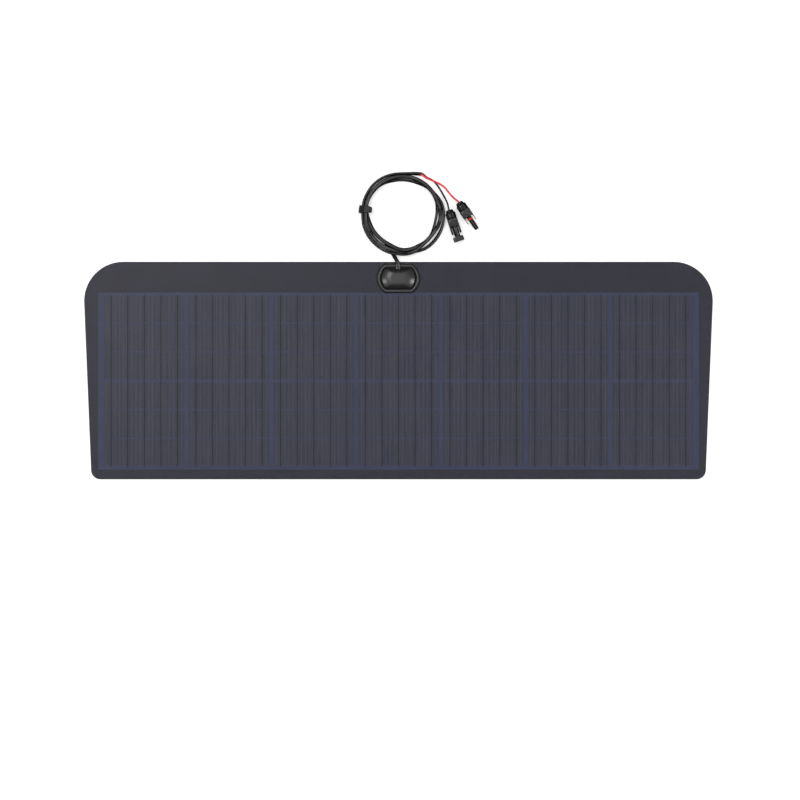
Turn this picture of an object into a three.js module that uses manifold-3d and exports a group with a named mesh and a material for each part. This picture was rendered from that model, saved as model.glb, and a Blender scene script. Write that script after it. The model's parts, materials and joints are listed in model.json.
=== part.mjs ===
// A flexible solar sheet: a thin trapezoid laminate of solar cells, with a junction box on its long
// upper margin, a coiled twin-core cable and a pair of weatherproof plug connectors.
// Millimetres. The sheet lies flat with its underside on z = 0, +X along its length, +Y towards the
// junction box and +Z up. The origin is the middle of the sheet's underside.

import * as THREE from "three";
import { mergeVertices } from "three/addons/utils/BufferGeometryUtils.js";
import Module from "manifold-3d";

const wasm = await Module();
wasm.setup();

// Sheet outline: half lengths of the two long edges (before the corners are rounded) and half depth.
const TOP_HALF = 605.7;
const BOTTOM_HALF = 588.5;
const HALF_DEPTH = 208.5;
const TOP_CORNER = 75;
const BOTTOM_CORNER = 18;
const FILM_INSET = 1.6;

// Laminate layers, each as [underside, top].
const BACK_SHEET = [0, 1.1];
const REAR_ENCAPSULANT = [1.15, 1.35];
const SCRIM = [1.4, 1.5];
const CELL_LAYER = [1.55, 1.8];
const FRONT_ENCAPSULANT = [1.85, 2.2];
const FRONT_FILM = [2.25, 2.5];

// The glass-fibre scrim behind the cells, which shows as a border round them.
const SCRIM_HALF = 575.9;
const SCRIM_Y = [-189.9, 149.6];

// Solar cells: square wafers cut into three strips, five ribbons across them.
const WAFER = 158.75;
const COLUMNS = 7;
const COLUMN_GAP = 3.65;
const STRIPS = 3;
const STRIP_GAP = 2.2;
const RIBBONS = 5;
const RIBBON_WIDTH = 1.5;
const CELLS_MIDDLE_Y = -19.5;

// Junction box: a straight middle and half-ellipse ends.
const BOX_Y = 176.5;
const BOX_STRAIGHT_HALF = 23;
const BOX_END = 17;
const BOX_HALF_HEIGHT = 26.5;
const BOX_RIM = 4.8;
const LID_INSET = 6.6;
const BOX_PAD = [2.55, 3.55];
const BOX_FLOOR = [3.6, 5.4];
const BOX_RIM_TOP = 10.6;
const LID_BOTTOM = 6.9;
const LID_TOP = 15.2;
const WIRE_SLOT_X = 12;
const WIRE_SLOT_Y = 168;
const WIRE_SLOT_HALF = [4.5, 2];

// Cable: flat twin core. Its jacket ends at the top of the coil and the two cores run on.
const CABLE_WIDTH = 7.4;
const CABLE_THICKNESS = 4.8;
const CORE_RADIUS = 1.5;
const GLAND_X = -0.8;
const CABLE_Z = 9;
const CABLE_EXIT_ROUTE = [
  [GLAND_X, 193.4, CABLE_Z],
  [GLAND_X, 199, CABLE_Z],
  [GLAND_X, 204.6, CABLE_Z],
  [-2.4, 209, 8.2],
  [-4.7, 212.9, 6.4],
  [-6.6, 216.1, 4.9],
  [-7.8, 218.5, 3.9],
];
const COIL_CENTRE = [8.4, 300.4];
const COIL_INNER = 62;
const COIL_OUTER = 78.5;
const COIL_Z = [1.7, 15];
const TIE_ANGLE = 174;
const TIE_LENGTH = 15;

// Where each core leaves the jacket and how it runs to its connector's cable entry.
const RED_ROUTE = [
  [44.8, 372.1, 4.3],
  [53.2, 369.2, 4.6],
  [63.6, 364.8, 5.1],
  [71, 361.2, 5.1],
  [78.2, 358, 4.3],
  [87, 352.2, 3],
  [94.5, 343.7, 2.2],
  [101.2, 335.3, 3.9],
  [107.8, 328.6, 7.6],
];
const BLACK_ROUTE = [
  [46, 375.4, 2.5],
  [55, 371.6, 2.1],
  [63, 366.8, 1.8],
  [69, 361.8, 1.7],
  [74.4, 355, 1.8],
  [79.8, 347.2, 2.2],
  [85.1, 337.8, 3.7],
  [89.9, 328.5, 6.2],
  [93.7, 319.3, 8.7],
];

// Connectors: cable entry, direction and axis height of each one as it lies on the ground.
const RED_PLUG = { x: 115.4, y: 321.5, turn: -55.6 };
const BLACK_PLUG = { x: 96.8, y: 306.8, turn: -71.7 };
const PLUG_AXIS_Z = 10.2;
const GAP = 0.35;

// Connector cap nut, thread sleeve and cable seal.
const NUT_LENGTH = 17;
const NUT_CREST = 9.8;
const NUT_ROOT = 9.1;
const NUT_LOBES = 12;
const NUT_COLLAR = 7.3;
const NUT_WALL = 3;
const NUT_NARROW_BORE = 5.75;
const NUT_BORE = 7.3;
const CABLE_HOLE = 2.1;
const SLEEVE_OUTER = 6.9;
const SLEEVE_INNER = 5.8;
const SLEEVE_START = 6;
const BODY_START = NUT_LENGTH + GAP;
const ROUND_SEGMENTS = 20;

// Connector with the nose and two latch fingers.
const NOSE_LENGTH = 62;
const NOSE_RADIUS = 4.05;
const NOSE_BASE_RADIUS = 4.55;
const NOSE_BORE = 2.4;
const LATCH_BODY_END = 26.5;
const LATCH_BODY_HALF = 9.9;
const LATCH_ROOT = 22.5;
const LATCH_SHOULDER = 34;
const LATCH_TIP = 45;
const SEAL_RING_X = 38.7;

// Connector with the socket shroud and crossbar.
const SHROUD_LENGTH = 62.2;
const SHROUD_SOLID_END = 34;
const SHROUD_ARM_END = 47.4;
const SHROUD_ARM_INNER = 6.9;
const SHROUD_HALF = 9.7;
const BARREL_RADIUS = 5.4;
const SOCKET_BORE = 4.3;
const SOCKET_FLOOR = 30;
const SOCKET_MOUTH = 5.1;
const SOCKET_MOUTH_START = 54;
const CROSSBAR_START = 53.6;
const CROSSBAR_HALF = 9.9;
const PIN_ROOT_RADIUS = 1.9;
const PIN_ROOT_END = 32;
const PIN_RADIUS = 1.25;
const PIN_END = 50;

// How far a cutter runs past the faces that it passes through.
const THROUGH = 1;

const radians = THREE.MathUtils.degToRad;

// Plain materials, one new one for each piece.
const COLOURS = {
  backing: ["#2b2b31", 0.75, 0],
  encapsulant: ["#5a5a66", 0.4, 0],
  scrim: ["#3c4056", 0.6, 0],
  cell: ["#2c2d3a", 0.4, 0.1],
  ribbon: ["#3a3b42", 0.45, 0.6],
  film: ["#44444f", 0.5, 0],
  foam: ["#1b1b1c", 0.95, 0],
  boxPlastic: ["#2a2a29", 0.55, 0],
  rubber: ["#141414", 0.85, 0],
  tin: ["#b9bcc0", 0.35, 0.9],
  diode: ["#18181a", 0.4, 0],
  cable: ["#2a2a2d", 0.5, 0],
  redCore: ["#e3303a", 0.45, 0],
  blackCore: ["#1c1c1e", 0.45, 0],
  tie: ["#1f1f20", 0.95, 0],
  plug: ["#2c2c2e", 0.5, 0],
  redRing: ["#d9371f", 0.6, 0],
  copper: ["#c8c2b0", 0.3, 0.9],
};

const sheet = new THREE.Group();

function place(group, name, geometry, colourName) {
  const [color, roughness, metalness] = COLOURS[colourName];
  const mesh = new THREE.Mesh(geometry, new THREE.MeshStandardMaterial({ color, roughness, metalness }));
  mesh.name = name;
  group.add(mesh);
  return mesh;
}

// Solid modelling: a geometry as a manifold solid, and back.
function solid(geometry) {
  const bare = geometry.clone();
  bare.deleteAttribute("normal");
  bare.deleteAttribute("uv");
  const merged = mergeVertices(bare, 1e-4);
  const mesh = new wasm.Mesh({
    numProp: 3,
    vertProperties: new Float32Array(merged.attributes.position.array),
    triVerts: new Uint32Array(merged.index.array),
  });
  return new wasm.Manifold(mesh);
}

function geometryOf(manifold) {
  const mesh = manifold.getMesh();
  const geometry = new THREE.BufferGeometry();
  geometry.setAttribute("position", new THREE.BufferAttribute(mesh.vertProperties, 3));
  geometry.setIndex(new THREE.BufferAttribute(mesh.triVerts, 1));
  return geometry;
}

function joined(first, ...rest) {
  return rest.reduce((whole, piece) => whole.add(piece), first);
}

function cut(whole, ...pieces) {
  return pieces.reduce((left, piece) => left.subtract(piece), whole);
}

// A box between two corners.
function block(low, high) {
  const size = high.map((value, axis) => value - low[axis]);
  const geometry = new THREE.BoxGeometry(...size);
  return geometry.translate(...low.map((value, axis) => value + size[axis] / 2));
}

// A flat outline as a plate between two heights.
function plate(shape, [bottom, top]) {
  const geometry = new THREE.ExtrudeGeometry(shape, { depth: top - bottom, bevelEnabled: false });
  return geometry.translate(0, 0, bottom);
}

// A closed polygon whose corners, given as [x, y, radius] anticlockwise, are rounded by arcs.
function roundedPolygon(corners) {
  const shape = new THREE.Shape();
  corners.forEach(([x, y, radius], index) => {
    const corner = new THREE.Vector2(x, y);
    const before = new THREE.Vector2(...corners.at(index - 1)).sub(corner).normalize();
    const after = new THREE.Vector2(...corners[(index + 1) % corners.length]).sub(corner).normalize();
    const halfAngle = Math.acos(before.dot(after)) / 2;
    const middle = before.clone().add(after).normalize();
    const centre = corner.clone().addScaledVector(middle, radius / Math.sin(halfAngle));
    const reach = radius / Math.tan(halfAngle);
    const from = corner.clone().addScaledVector(before, reach).sub(centre).angle();
    const to = corner.clone().addScaledVector(after, reach).sub(centre).angle();
    shape.absarc(centre.x, centre.y, radius, from, to, false);
  });
  return distinct(shape);
}

// The same outline without points that coincide, so that it still triangulates once it has holes.
function distinct(shape, curveSegments = 12) {
  const points = shape.getPoints(curveSegments);
  return new THREE.Shape(points.filter((point, index) => point.distanceTo(points.at(index - 1)) > 0.01));
}

function polygon(points) {
  return new THREE.Shape(points.map(([x, y]) => new THREE.Vector2(x, y)));
}

// A closed [along, radius] profile turned about the X axis.
function turned(profile, segments = ROUND_SEGMENTS) {
  const points = profile.map(([along, radius]) => new THREE.Vector2(radius, along));
  return new THREE.LatheGeometry(points, segments).rotateZ(-Math.PI / 2);
}

// A tube wall about the X axis, from one end to the other.
function sleeve(start, end, inner, outer, segments = ROUND_SEGMENTS) {
  const profile = [
    [start, inner],
    [start, outer],
    [end, outer],
    [end, inner],
    [start, inner],
  ];
  return turned(profile, segments);
}

// A round bar about the X axis.
function bar(start, end, radius, segments = ROUND_SEGMENTS) {
  const profile = [
    [start, 0],
    [start, radius],
    [end, radius],
    [end, 0],
  ];
  return turned(profile, segments);
}

// A flat oval section, for the twin-core cable.
function ovalSection(halfWidth, halfHeight, sides) {
  const shape = new THREE.Shape();
  for (let side = 0; side < sides; side += 1) {
    const angle = (2 * Math.PI * (side + 0.5)) / sides;
    const x = halfHeight * Math.cos(angle);
    const y = halfWidth * Math.sin(angle);
    if (side === 0) {
      shape.moveTo(x, y);
    } else {
      shape.lineTo(x, y);
    }
  }
  shape.closePath();
  return shape;
}

// A tube of the given section along a smooth curve through the route's points.
function tube(route, section, steps) {
  const path = new THREE.CatmullRomCurve3(
    route.map((point) => new THREE.Vector3(...point)),
    false,
    "centripetal",
  );
  return new THREE.ExtrudeGeometry(section, { extrudePath: path, steps, bevelEnabled: false });
}

// ---- Laminate ----

function sheetOutline(inset) {
  return roundedPolygon([
    [-BOTTOM_HALF + inset, -HALF_DEPTH + inset, BOTTOM_CORNER - inset],
    [BOTTOM_HALF - inset, -HALF_DEPTH + inset, BOTTOM_CORNER - inset],
    [TOP_HALF - inset, HALF_DEPTH - inset, TOP_CORNER - inset],
    [-TOP_HALF + inset, HALF_DEPTH - inset, TOP_CORNER - inset],
  ]);
}

// The two slots that let the output ribbons rise into the junction box.
function withWireSlots(layer) {
  const slots = [-1, 1].map((side) => {
    const x = side * WIRE_SLOT_X;
    const low = [x - WIRE_SLOT_HALF[0], WIRE_SLOT_Y - WIRE_SLOT_HALF[1], 0];
    const high = [x + WIRE_SLOT_HALF[0], WIRE_SLOT_Y + WIRE_SLOT_HALF[1], FRONT_FILM[1] + THROUGH];
    return solid(block(low, high));
  });
  return geometryOf(cut(solid(plate(sheetOutline(FILM_INSET), layer)), ...slots));
}

function makeLaminate() {
  place(sheet, "back_sheet", plate(sheetOutline(0), BACK_SHEET), "backing");
  place(sheet, "rear_encapsulant", plate(sheetOutline(FILM_INSET), REAR_ENCAPSULANT), "encapsulant");
  const scrim = block([-SCRIM_HALF, SCRIM_Y[0], SCRIM[0]], [SCRIM_HALF, SCRIM_Y[1], SCRIM[1]]);
  place(sheet, "reinforcing_scrim", scrim, "scrim");
  place(sheet, "front_encapsulant", withWireSlots(FRONT_ENCAPSULANT), "encapsulant");
  place(sheet, "front_film", withWireSlots(FRONT_FILM), "film");
}

// ---- Solar cells ----

const STRIP_HEIGHT = WAFER / STRIPS;
const STRIP_PITCH = STRIP_HEIGHT + STRIP_GAP;
const WAFER_HALF_HEIGHT = (STRIPS * STRIP_HEIGHT + (STRIPS - 1) * STRIP_GAP) / 2;
const COLUMN_PITCH = WAFER + COLUMN_GAP;
const RIBBON_PITCH = WAFER / RIBBONS;
const CELLS_HALF_HEIGHT = 2 * WAFER_HALF_HEIGHT + STRIP_GAP / 2;

function columnX(column) {
  return (column - (COLUMNS - 1) / 2) * COLUMN_PITCH;
}

function ribbonX(ribbon) {
  return (ribbon - (RIBBONS - 1) / 2) * RIBBON_PITCH;
}

// One wafer's three strips, held together by the five ribbons that bridge the gaps between them.
function waferGeometry() {
  const half = WAFER / 2;
  const whole = block([-half, -WAFER_HALF_HEIGHT, CELL_LAYER[0]], [half, WAFER_HALF_HEIGHT, CELL_LAYER[1]]);
  const openings = [];
  for (let gap = 1; gap < STRIPS; gap += 1) {
    const top = -WAFER_HALF_HEIGHT + gap * STRIP_PITCH;
    for (let opening = 0; opening <= RIBBONS; opening += 1) {
      const left = opening === 0 ? -half - THROUGH : ribbonX(opening - 1) + RIBBON_WIDTH / 2;
      const right = opening === RIBBONS ? half + THROUGH : ribbonX(opening) - RIBBON_WIDTH / 2;
      const low = [left, top - STRIP_GAP, CELL_LAYER[0] - THROUGH];
      openings.push(solid(block(low, [right, top, CELL_LAYER[1] + THROUGH])));
    }
  }
  return geometryOf(cut(solid(whole), ...openings));
}

function makeCells() {
  const rows = { upper: 1, lower: -1 };
  for (const [row, side] of Object.entries(rows)) {
    for (let column = 0; column < COLUMNS; column += 1) {
      const y = CELLS_MIDDLE_Y + side * (WAFER_HALF_HEIGHT + STRIP_GAP / 2);
      const geometry = waferGeometry().translate(columnX(column), y, 0);
      place(sheet, `cells_${row}_${column + 1}`, geometry, "cell");
    }
  }
}

// Ribbons across the ends of the columns, which join neighbouring columns in series.
const END_RIBBON_WIDTH = 4;
const END_RIBBON_GAP = 0.5;
const END_RIBBON_OVERHANG = 2;
const END_RIBBON_REACH = ribbonX(RIBBONS - 1) + END_RIBBON_OVERHANG;

function endRibbonY(side) {
  return CELLS_MIDDLE_Y + side * (CELLS_HALF_HEIGHT + END_RIBBON_GAP + END_RIBBON_WIDTH / 2);
}

function makeEndRibbons() {
  for (const [edge, side, first] of [["top", 1, 1], ["bottom", -1, 0]]) {
    for (let pair = 0; pair < (COLUMNS - 1) / 2; pair += 1) {
      const column = first + 2 * pair;
      const y = endRibbonY(side);
      const low = [columnX(column) - END_RIBBON_REACH, y - END_RIBBON_WIDTH / 2, CELL_LAYER[0]];
      const high = [columnX(column + 1) + END_RIBBON_REACH, y + END_RIBBON_WIDTH / 2, CELL_LAYER[1]];
      place(sheet, `end_ribbon_${edge}_${pair + 1}`, block(low, high), "ribbon");
    }
  }
}

// The two output ribbons run along the upper margin and rise through the slots into the box.
const OUTPUT_Y = [156, 160];
const OUTPUT_RIBBON = 5;
const OUTPUT_SIDE_GAP = 4;
const TAB_HALF_THICKNESS = 0.25;
const TAB_TOP = 8.6;

function outputTab(side) {
  const x = side * WIRE_SLOT_X;
  const low = [x - OUTPUT_RIBBON / 2, WIRE_SLOT_Y - TAB_HALF_THICKNESS, CELL_LAYER[0]];
  return block(low, [x + OUTPUT_RIBBON / 2, WIRE_SLOT_Y + TAB_HALF_THICKNESS, TAB_TOP]);
}

function outputRibbon(side, outline) {
  const x = side * WIRE_SLOT_X;
  const low = [x - OUTPUT_RIBBON / 2, OUTPUT_Y[0], CELL_LAYER[0]];
  const riser = block(low, [x + OUTPUT_RIBBON / 2, WIRE_SLOT_Y + TAB_HALF_THICKNESS, CELL_LAYER[1]]);
  const strip = plate(polygon(outline), CELL_LAYER);
  return geometryOf(joined(solid(strip), solid(riser), solid(outputTab(side))));
}

function makeOutputRibbons() {
  const topLow = endRibbonY(1) - END_RIBBON_WIDTH / 2;
  const topHigh = topLow + END_RIBBON_WIDTH;
  const firstLeft = columnX(0) - END_RIBBON_REACH;
  const firstRight = columnX(0) + END_RIBBON_REACH;
  const near = WIRE_SLOT_X - OUTPUT_RIBBON / 2;
  const positive = [
    [firstLeft, topLow],
    [firstRight, topLow],
    [firstRight, OUTPUT_Y[0]],
    [-near, OUTPUT_Y[0]],
    [-near, OUTPUT_Y[1]],
    [firstRight - END_RIBBON_WIDTH, OUTPUT_Y[1]],
    [firstRight - END_RIBBON_WIDTH, topHigh],
    [firstLeft, topHigh],
  ];
  const bottomHigh = endRibbonY(-1) + END_RIBBON_WIDTH / 2;
  const bottomLow = bottomHigh - END_RIBBON_WIDTH;
  const lastLeft = columnX(COLUMNS - 1) - END_RIBBON_REACH;
  const sideLeft = columnX(COLUMNS - 1) + WAFER / 2 + OUTPUT_SIDE_GAP;
  const sideRight = sideLeft + END_RIBBON_WIDTH;
  const negative = [
    [lastLeft, bottomLow],
    [sideRight, bottomLow],
    [sideRight, OUTPUT_Y[1]],
    [near, OUTPUT_Y[1]],
    [near, OUTPUT_Y[0]],
    [sideLeft, OUTPUT_Y[0]],
    [sideLeft, bottomHigh],
    [lastLeft, bottomHigh],
  ];
  place(sheet, "output_ribbon_positive", outputRibbon(-1, positive), "ribbon");
  place(sheet, "output_ribbon_negative", outputRibbon(1, negative), "ribbon");
}

// ---- Junction box ----

function boxOutline(inset) {
  const shape = new THREE.Shape();
  const end = BOX_END - inset;
  const height = BOX_HALF_HEIGHT - inset;
  shape.absellipse(BOX_STRAIGHT_HALF, BOX_Y, end, height, -Math.PI / 2, Math.PI / 2, false, 0);
  shape.absellipse(-BOX_STRAIGHT_HALF, BOX_Y, end, height, Math.PI / 2, (3 * Math.PI) / 2, false, 0);
  return distinct(shape, 8);
}

function boxPlate(inset, heights) {
  return solid(plate(boxOutline(inset), heights));
}

// The gland passage through the box's upper wall.
const GLAND_HALF_WIDTH = 4.9;
const GLAND_Z = [5.75, 12.2];
const GLAND_Y = [193, 204.4];

function glandPassage(top) {
  const low = [GLAND_X - GLAND_HALF_WIDTH - GAP, GLAND_Y[0] - GAP, GLAND_Z[0] - GAP];
  return solid(block(low, [GLAND_X + GLAND_HALF_WIDTH + GAP, GLAND_Y[1] + THROUGH, top]));
}

// The base is a tray with a hole in its floor where the ribbons come up, on a foam adhesive pad.
const FLOOR_HOLE_X = 22;
const FLOOR_HOLE_Y = [WIRE_SLOT_Y - 6, WIRE_SLOT_Y + 4];
const PAD_INSET = 1.2;

function makeBoxBase() {
  const holeLow = [-FLOOR_HOLE_X, FLOOR_HOLE_Y[0], 0];
  const floorHole = solid(block(holeLow, [FLOOR_HOLE_X, FLOOR_HOLE_Y[1], BOX_FLOOR[1] + THROUGH]));
  const outside = boxPlate(0, [BOX_FLOOR[0], BOX_RIM_TOP]);
  const inside = boxPlate(BOX_RIM, [BOX_FLOOR[1], BOX_RIM_TOP + THROUGH]);
  const base = cut(outside, inside, floorHole, glandPassage(BOX_RIM_TOP + THROUGH));
  place(sheet, "box_base", geometryOf(base), "boxPlastic");
  const pad = cut(boxPlate(PAD_INSET, BOX_PAD), floorHole);
  place(sheet, "box_adhesive_pad", geometryOf(pad), "foam");
}

// A flat rubber ring on the floor of the base's channel, under the lid's skirt.
const GASKET_Z = [5.7, 6.6];
const GASKET_INNER_INSET = 9.2;

function makeBoxGasket() {
  const outer = boxPlate(BOX_RIM + GAP, GASKET_Z);
  const inner = boxPlate(GASKET_INNER_INSET, [GASKET_Z[0] - THROUGH, GASKET_Z[1] + THROUGH]);
  const gasket = cut(outer, inner, glandPassage(GASKET_Z[1] + THROUGH));
  place(sheet, "box_gasket", geometryOf(gasket), "rubber");
}

// The lid is a cup with a skirt that stands in the base's channel and a sloping dome.
const LID_SLOPE = 5;
const LID_STRAIGHT = 4;
const LID_SKIRT_TOP = 9;
const LID_WALL = 2.2;
const LID_HOLLOW_TOP = 11.4;
const LID_DOME_INSET = 5.4;
const LID_DOME_TOP = 13;

function makeBoxLid() {
  const domed = new THREE.ExtrudeGeometry(boxOutline(LID_INSET), {
    depth: LID_STRAIGHT,
    bevelThickness: LID_SLOPE,
    bevelSize: LID_SLOPE,
    bevelOffset: -LID_SLOPE,
    bevelSegments: 2,
  });
  domed.translate(0, 0, LID_TOP - LID_SLOPE - LID_STRAIGHT);
  const keep = boxPlate(0, [LID_BOTTOM, LID_TOP + THROUGH]);
  const skirt = boxPlate(LID_INSET, [LID_BOTTOM, LID_SKIRT_TOP]);
  const dome = joined(solid(domed).intersect(keep), skirt);
  const hollow = boxPlate(LID_INSET + LID_WALL, [0, LID_HOLLOW_TOP]);
  const raised = boxPlate(LID_INSET + LID_DOME_INSET, [LID_HOLLOW_TOP - THROUGH, LID_DOME_TOP]);
  const lid = cut(dome, hollow, raised, glandPassage(GLAND_Z[1] + GAP));
  place(sheet, "box_lid", geometryOf(lid), "boxPlastic");
}

function makeGland() {
  const low = [GLAND_X - GLAND_HALF_WIDTH, GLAND_Y[0], GLAND_Z[0]];
  const shell = solid(block(low, [GLAND_X + GLAND_HALF_WIDTH, GLAND_Y[1], GLAND_Z[1]]));
  const hole = solid(
    block(
      [GLAND_X - CABLE_WIDTH / 2 - GAP, GLAND_Y[0] - THROUGH, CABLE_Z - CABLE_THICKNESS / 2 - GAP],
      [GLAND_X + CABLE_WIDTH / 2 + GAP, GLAND_Y[1] + THROUGH, CABLE_Z + CABLE_THICKNESS / 2 + GAP],
    ),
  );
  place(sheet, "cable_gland", geometryOf(cut(shell, hole)), "boxPlastic");
}

// Terminals that clamp a ribbon and a core each: a flat foot with a jaw standing at the ribbon's tab.
const TERMINAL_HALF = 4;
const TERMINAL_Y = [WIRE_SLOT_Y + 0.6, WIRE_SLOT_Y + 14];
const TERMINAL_Z = [5.8, 6.8];
const JAW_TOP = 8.8;

// The bypass diode lies across the two terminals on its leads.
const DIODE_HALF = 4.75;
const DIODE_RADIUS = 2;
const DIODE_LEAD_HALF = 13.5;
const DIODE_LEAD_RADIUS = 0.6;
const DIODE_Y = WIRE_SLOT_Y + 12;
const DIODE_Z = 8.2;

function makeTerminals() {
  const sides = { positive: -1, negative: 1 };
  for (const [polarity, side] of Object.entries(sides)) {
    const left = side * WIRE_SLOT_X - TERMINAL_HALF;
    const right = left + 2 * TERMINAL_HALF;
    const low = [left, TERMINAL_Y[0], TERMINAL_Z[0]];
    const foot = solid(block(low, [right, TERMINAL_Y[1], TERMINAL_Z[1]]));
    const jaw = solid(block(low, [right, TERMINAL_Y[0] + 1, JAW_TOP]));
    place(sheet, `box_terminal_${polarity}`, geometryOf(joined(foot, jaw)), "tin");
  }
  const lead = solid(bar(-DIODE_LEAD_HALF, DIODE_LEAD_HALF, DIODE_LEAD_RADIUS, 8));
  const can = solid(bar(-DIODE_HALF, DIODE_HALF, DIODE_RADIUS, 12));
  const diode = geometryOf(joined(can, lead)).translate(0, DIODE_Y, DIODE_Z);
  place(sheet, "box_bypass_diode", diode, "diode");
}

function makeInnerCores() {
  const section = ovalSection(CORE_RADIUS, CORE_RADIUS, 8);
  for (const [colour, side, finish] of [["red", -1, "redCore"], ["black", 1, "blackCore"]]) {
    const route = [
      [GLAND_X + side * 1.9, 192.6, CABLE_Z],
      [GLAND_X + side * 2.4, 189, CABLE_Z],
      [side * 9, 186, CABLE_Z],
      [side * 17, 183, CABLE_Z],
      [side * 18.4, 174, CABLE_Z],
    ];
    place(sheet, `box_core_${colour}`, tube(route, section, 10), finish);
  }
}

// ---- Cable, coil and tie ----

function makeCable() {
  const section = ovalSection(CABLE_WIDTH / 2, CABLE_THICKNESS / 2, 12);
  place(sheet, "cable_lead", tube(CABLE_EXIT_ROUTE, section, 12), "cable");
  const corner = 3;
  const ring = [
    [COIL_INNER + corner, COIL_Z[0]],
    [COIL_OUTER - corner, COIL_Z[0]],
    [COIL_OUTER, COIL_Z[0] + corner],
    [COIL_OUTER, COIL_Z[1] - corner],
    [COIL_OUTER - corner, COIL_Z[1]],
    [COIL_INNER + corner, COIL_Z[1]],
    [COIL_INNER, COIL_Z[1] - corner],
    [COIL_INNER, COIL_Z[0] + corner],
    [COIL_INNER + corner, COIL_Z[0]],
  ];
  const coil = new THREE.LatheGeometry(ring.map(([r, z]) => new THREE.Vector2(r, z)), 32);
  coil.rotateX(Math.PI / 2).translate(...COIL_CENTRE, 0);
  place(sheet, "cable_coil", coil, "cable");
}

// A hook-and-loop strap wrapped round the coil, with its free end lying on top and standing out.
const TIE_THICKNESS = 1.2;
const TIE_ROOM = [0.9, 0.4];
const TIE_TAIL = [6, 4.6];
const TIE_TAIL_Z = [0.8, 2.2];

function makeTie() {
  const inner = [COIL_INNER - TIE_ROOM[0], COIL_OUTER + TIE_ROOM[1]];
  const low = COIL_Z[0] - GAP;
  const high = COIL_Z[1] + GAP;
  const half = TIE_LENGTH / 2;
  const outsideLow = [inner[0] - TIE_THICKNESS, -half, low - TIE_THICKNESS];
  const outside = solid(block(outsideLow, [inner[1] + TIE_THICKNESS, half, high + TIE_THICKNESS]));
  const inside = solid(block([inner[0], -half - THROUGH, low], [inner[1], half + THROUGH, high]));
  const tailLow = [inner[0] + TIE_TAIL[0], -half, high + TIE_TAIL_Z[0]];
  const tail = solid(block(tailLow, [inner[1] + TIE_TAIL[1], half, high + TIE_TAIL_Z[1]]));
  const group = new THREE.Group();
  group.position.set(...COIL_CENTRE, 0);
  group.rotation.z = radians(TIE_ANGLE);
  sheet.add(group);
  place(group, "cable_tie", geometryOf(joined(cut(outside, inside), tail)), "tie");
}

// ---- Connectors ----

// The last stretch of a core, which runs straight into its connector as far as the contact.
function plugEntry(plug, along) {
  const turn = radians(plug.turn);
  return [plug.x + along * Math.cos(turn), plug.y + along * Math.sin(turn), PLUG_AXIS_Z];
}

const CONTACT_START = 14;
const ENTRY_POINTS = [-2, 5, CONTACT_START - GAP];

function makeCore(name, route, plug, finish) {
  const whole = [...route, ...ENTRY_POINTS.map((along) => plugEntry(plug, along))];
  place(sheet, name, tube(whole, ovalSection(CORE_RADIUS, CORE_RADIUS, 8), 26), finish);
}

function plugGroup(plug) {
  const group = new THREE.Group();
  group.position.set(plug.x, plug.y, PLUG_AXIS_Z);
  group.rotation.z = radians(plug.turn);
  sheet.add(group);
  return group;
}

// The lobed cap nut that squeezes the cage and seal onto the core.
const NUT_GRIP_START = 5.8;
const NUT_GRIP_OVERLAP = 2;

function makeNut(group, name) {
  const points = [];
  for (let step = 0; step < 2 * NUT_LOBES; step += 1) {
    const radius = step % 2 ? NUT_ROOT : NUT_CREST;
    const angle = (Math.PI * step) / NUT_LOBES;
    points.push([radius * Math.cos(angle), radius * Math.sin(angle)]);
  }
  const grip = plate(polygon(points), [NUT_GRIP_START, NUT_LENGTH]).rotateY(Math.PI / 2);
  const collar = turned([
    [0, 0],
    [0, NUT_COLLAR - 1.1],
    [1, NUT_COLLAR - 0.4],
    [NUT_GRIP_START - 1.4, NUT_COLLAR],
    [NUT_GRIP_START + 0.6, NUT_ROOT - 0.1],
    [NUT_GRIP_START + NUT_GRIP_OVERLAP, NUT_ROOT - 0.1],
    [NUT_GRIP_START + NUT_GRIP_OVERLAP, 0],
  ]);
  const narrow = solid(bar(NUT_WALL, NUT_GRIP_START + THROUGH, NUT_NARROW_BORE));
  const bore = solid(bar(NUT_GRIP_START, NUT_LENGTH + THROUGH, NUT_BORE));
  const entry = solid(bar(-THROUGH, NUT_WALL + THROUGH, CABLE_HOLE, 12));
  const nut = cut(joined(solid(grip), solid(collar)), narrow, bore, entry);
  place(group, name, geometryOf(nut), "plug");
}

// The rubber seal and the slotted cage that grips it, each [start, end] along the plug.
const SEAL_ALONG = [4, 10.5];
const SEAL_RADIUS = 3.9;
const CAGE_ALONG = [3.4, 12.8];
const CAGE_RADII = [4.25, 5.4];
const CAGE_SLOT_END = 9;
const CAGE_SLOT_HALF = 0.6;

function makeSealAndCage(group, colour) {
  const seal = sleeve(...SEAL_ALONG, CORE_RADIUS + GAP, SEAL_RADIUS, 14);
  place(group, `${colour}_plug_seal`, seal, "rubber");
  let cage = solid(sleeve(...CAGE_ALONG, ...CAGE_RADII, 18));
  const reach = CAGE_RADII[1] + THROUGH;
  for (let slot = 0; slot < 3; slot += 1) {
    const low = [CAGE_ALONG[0] - THROUGH, -CAGE_SLOT_HALF, -reach];
    const geometry = block(low, [CAGE_SLOT_END, CAGE_SLOT_HALF, reach]).rotateX((Math.PI * slot) / 3);
    cage = cut(cage, solid(geometry));
  }
  place(group, `${colour}_plug_cage`, geometryOf(cage), "plug");
}

// A plug body's cross outline, long in X and symmetric in Y, as a plate about the axis.
function bodyPlate(points, halfHeight) {
  const mirrored = points.map(([x, y]) => [x, -y]).reverse();
  return solid(plate(polygon([...mirrored, ...points]), [-halfHeight, halfHeight]));
}

function threadSleeve() {
  return solid(sleeve(SLEEVE_START, BODY_START + 1, SLEEVE_INNER, SLEEVE_OUTER));
}

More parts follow.
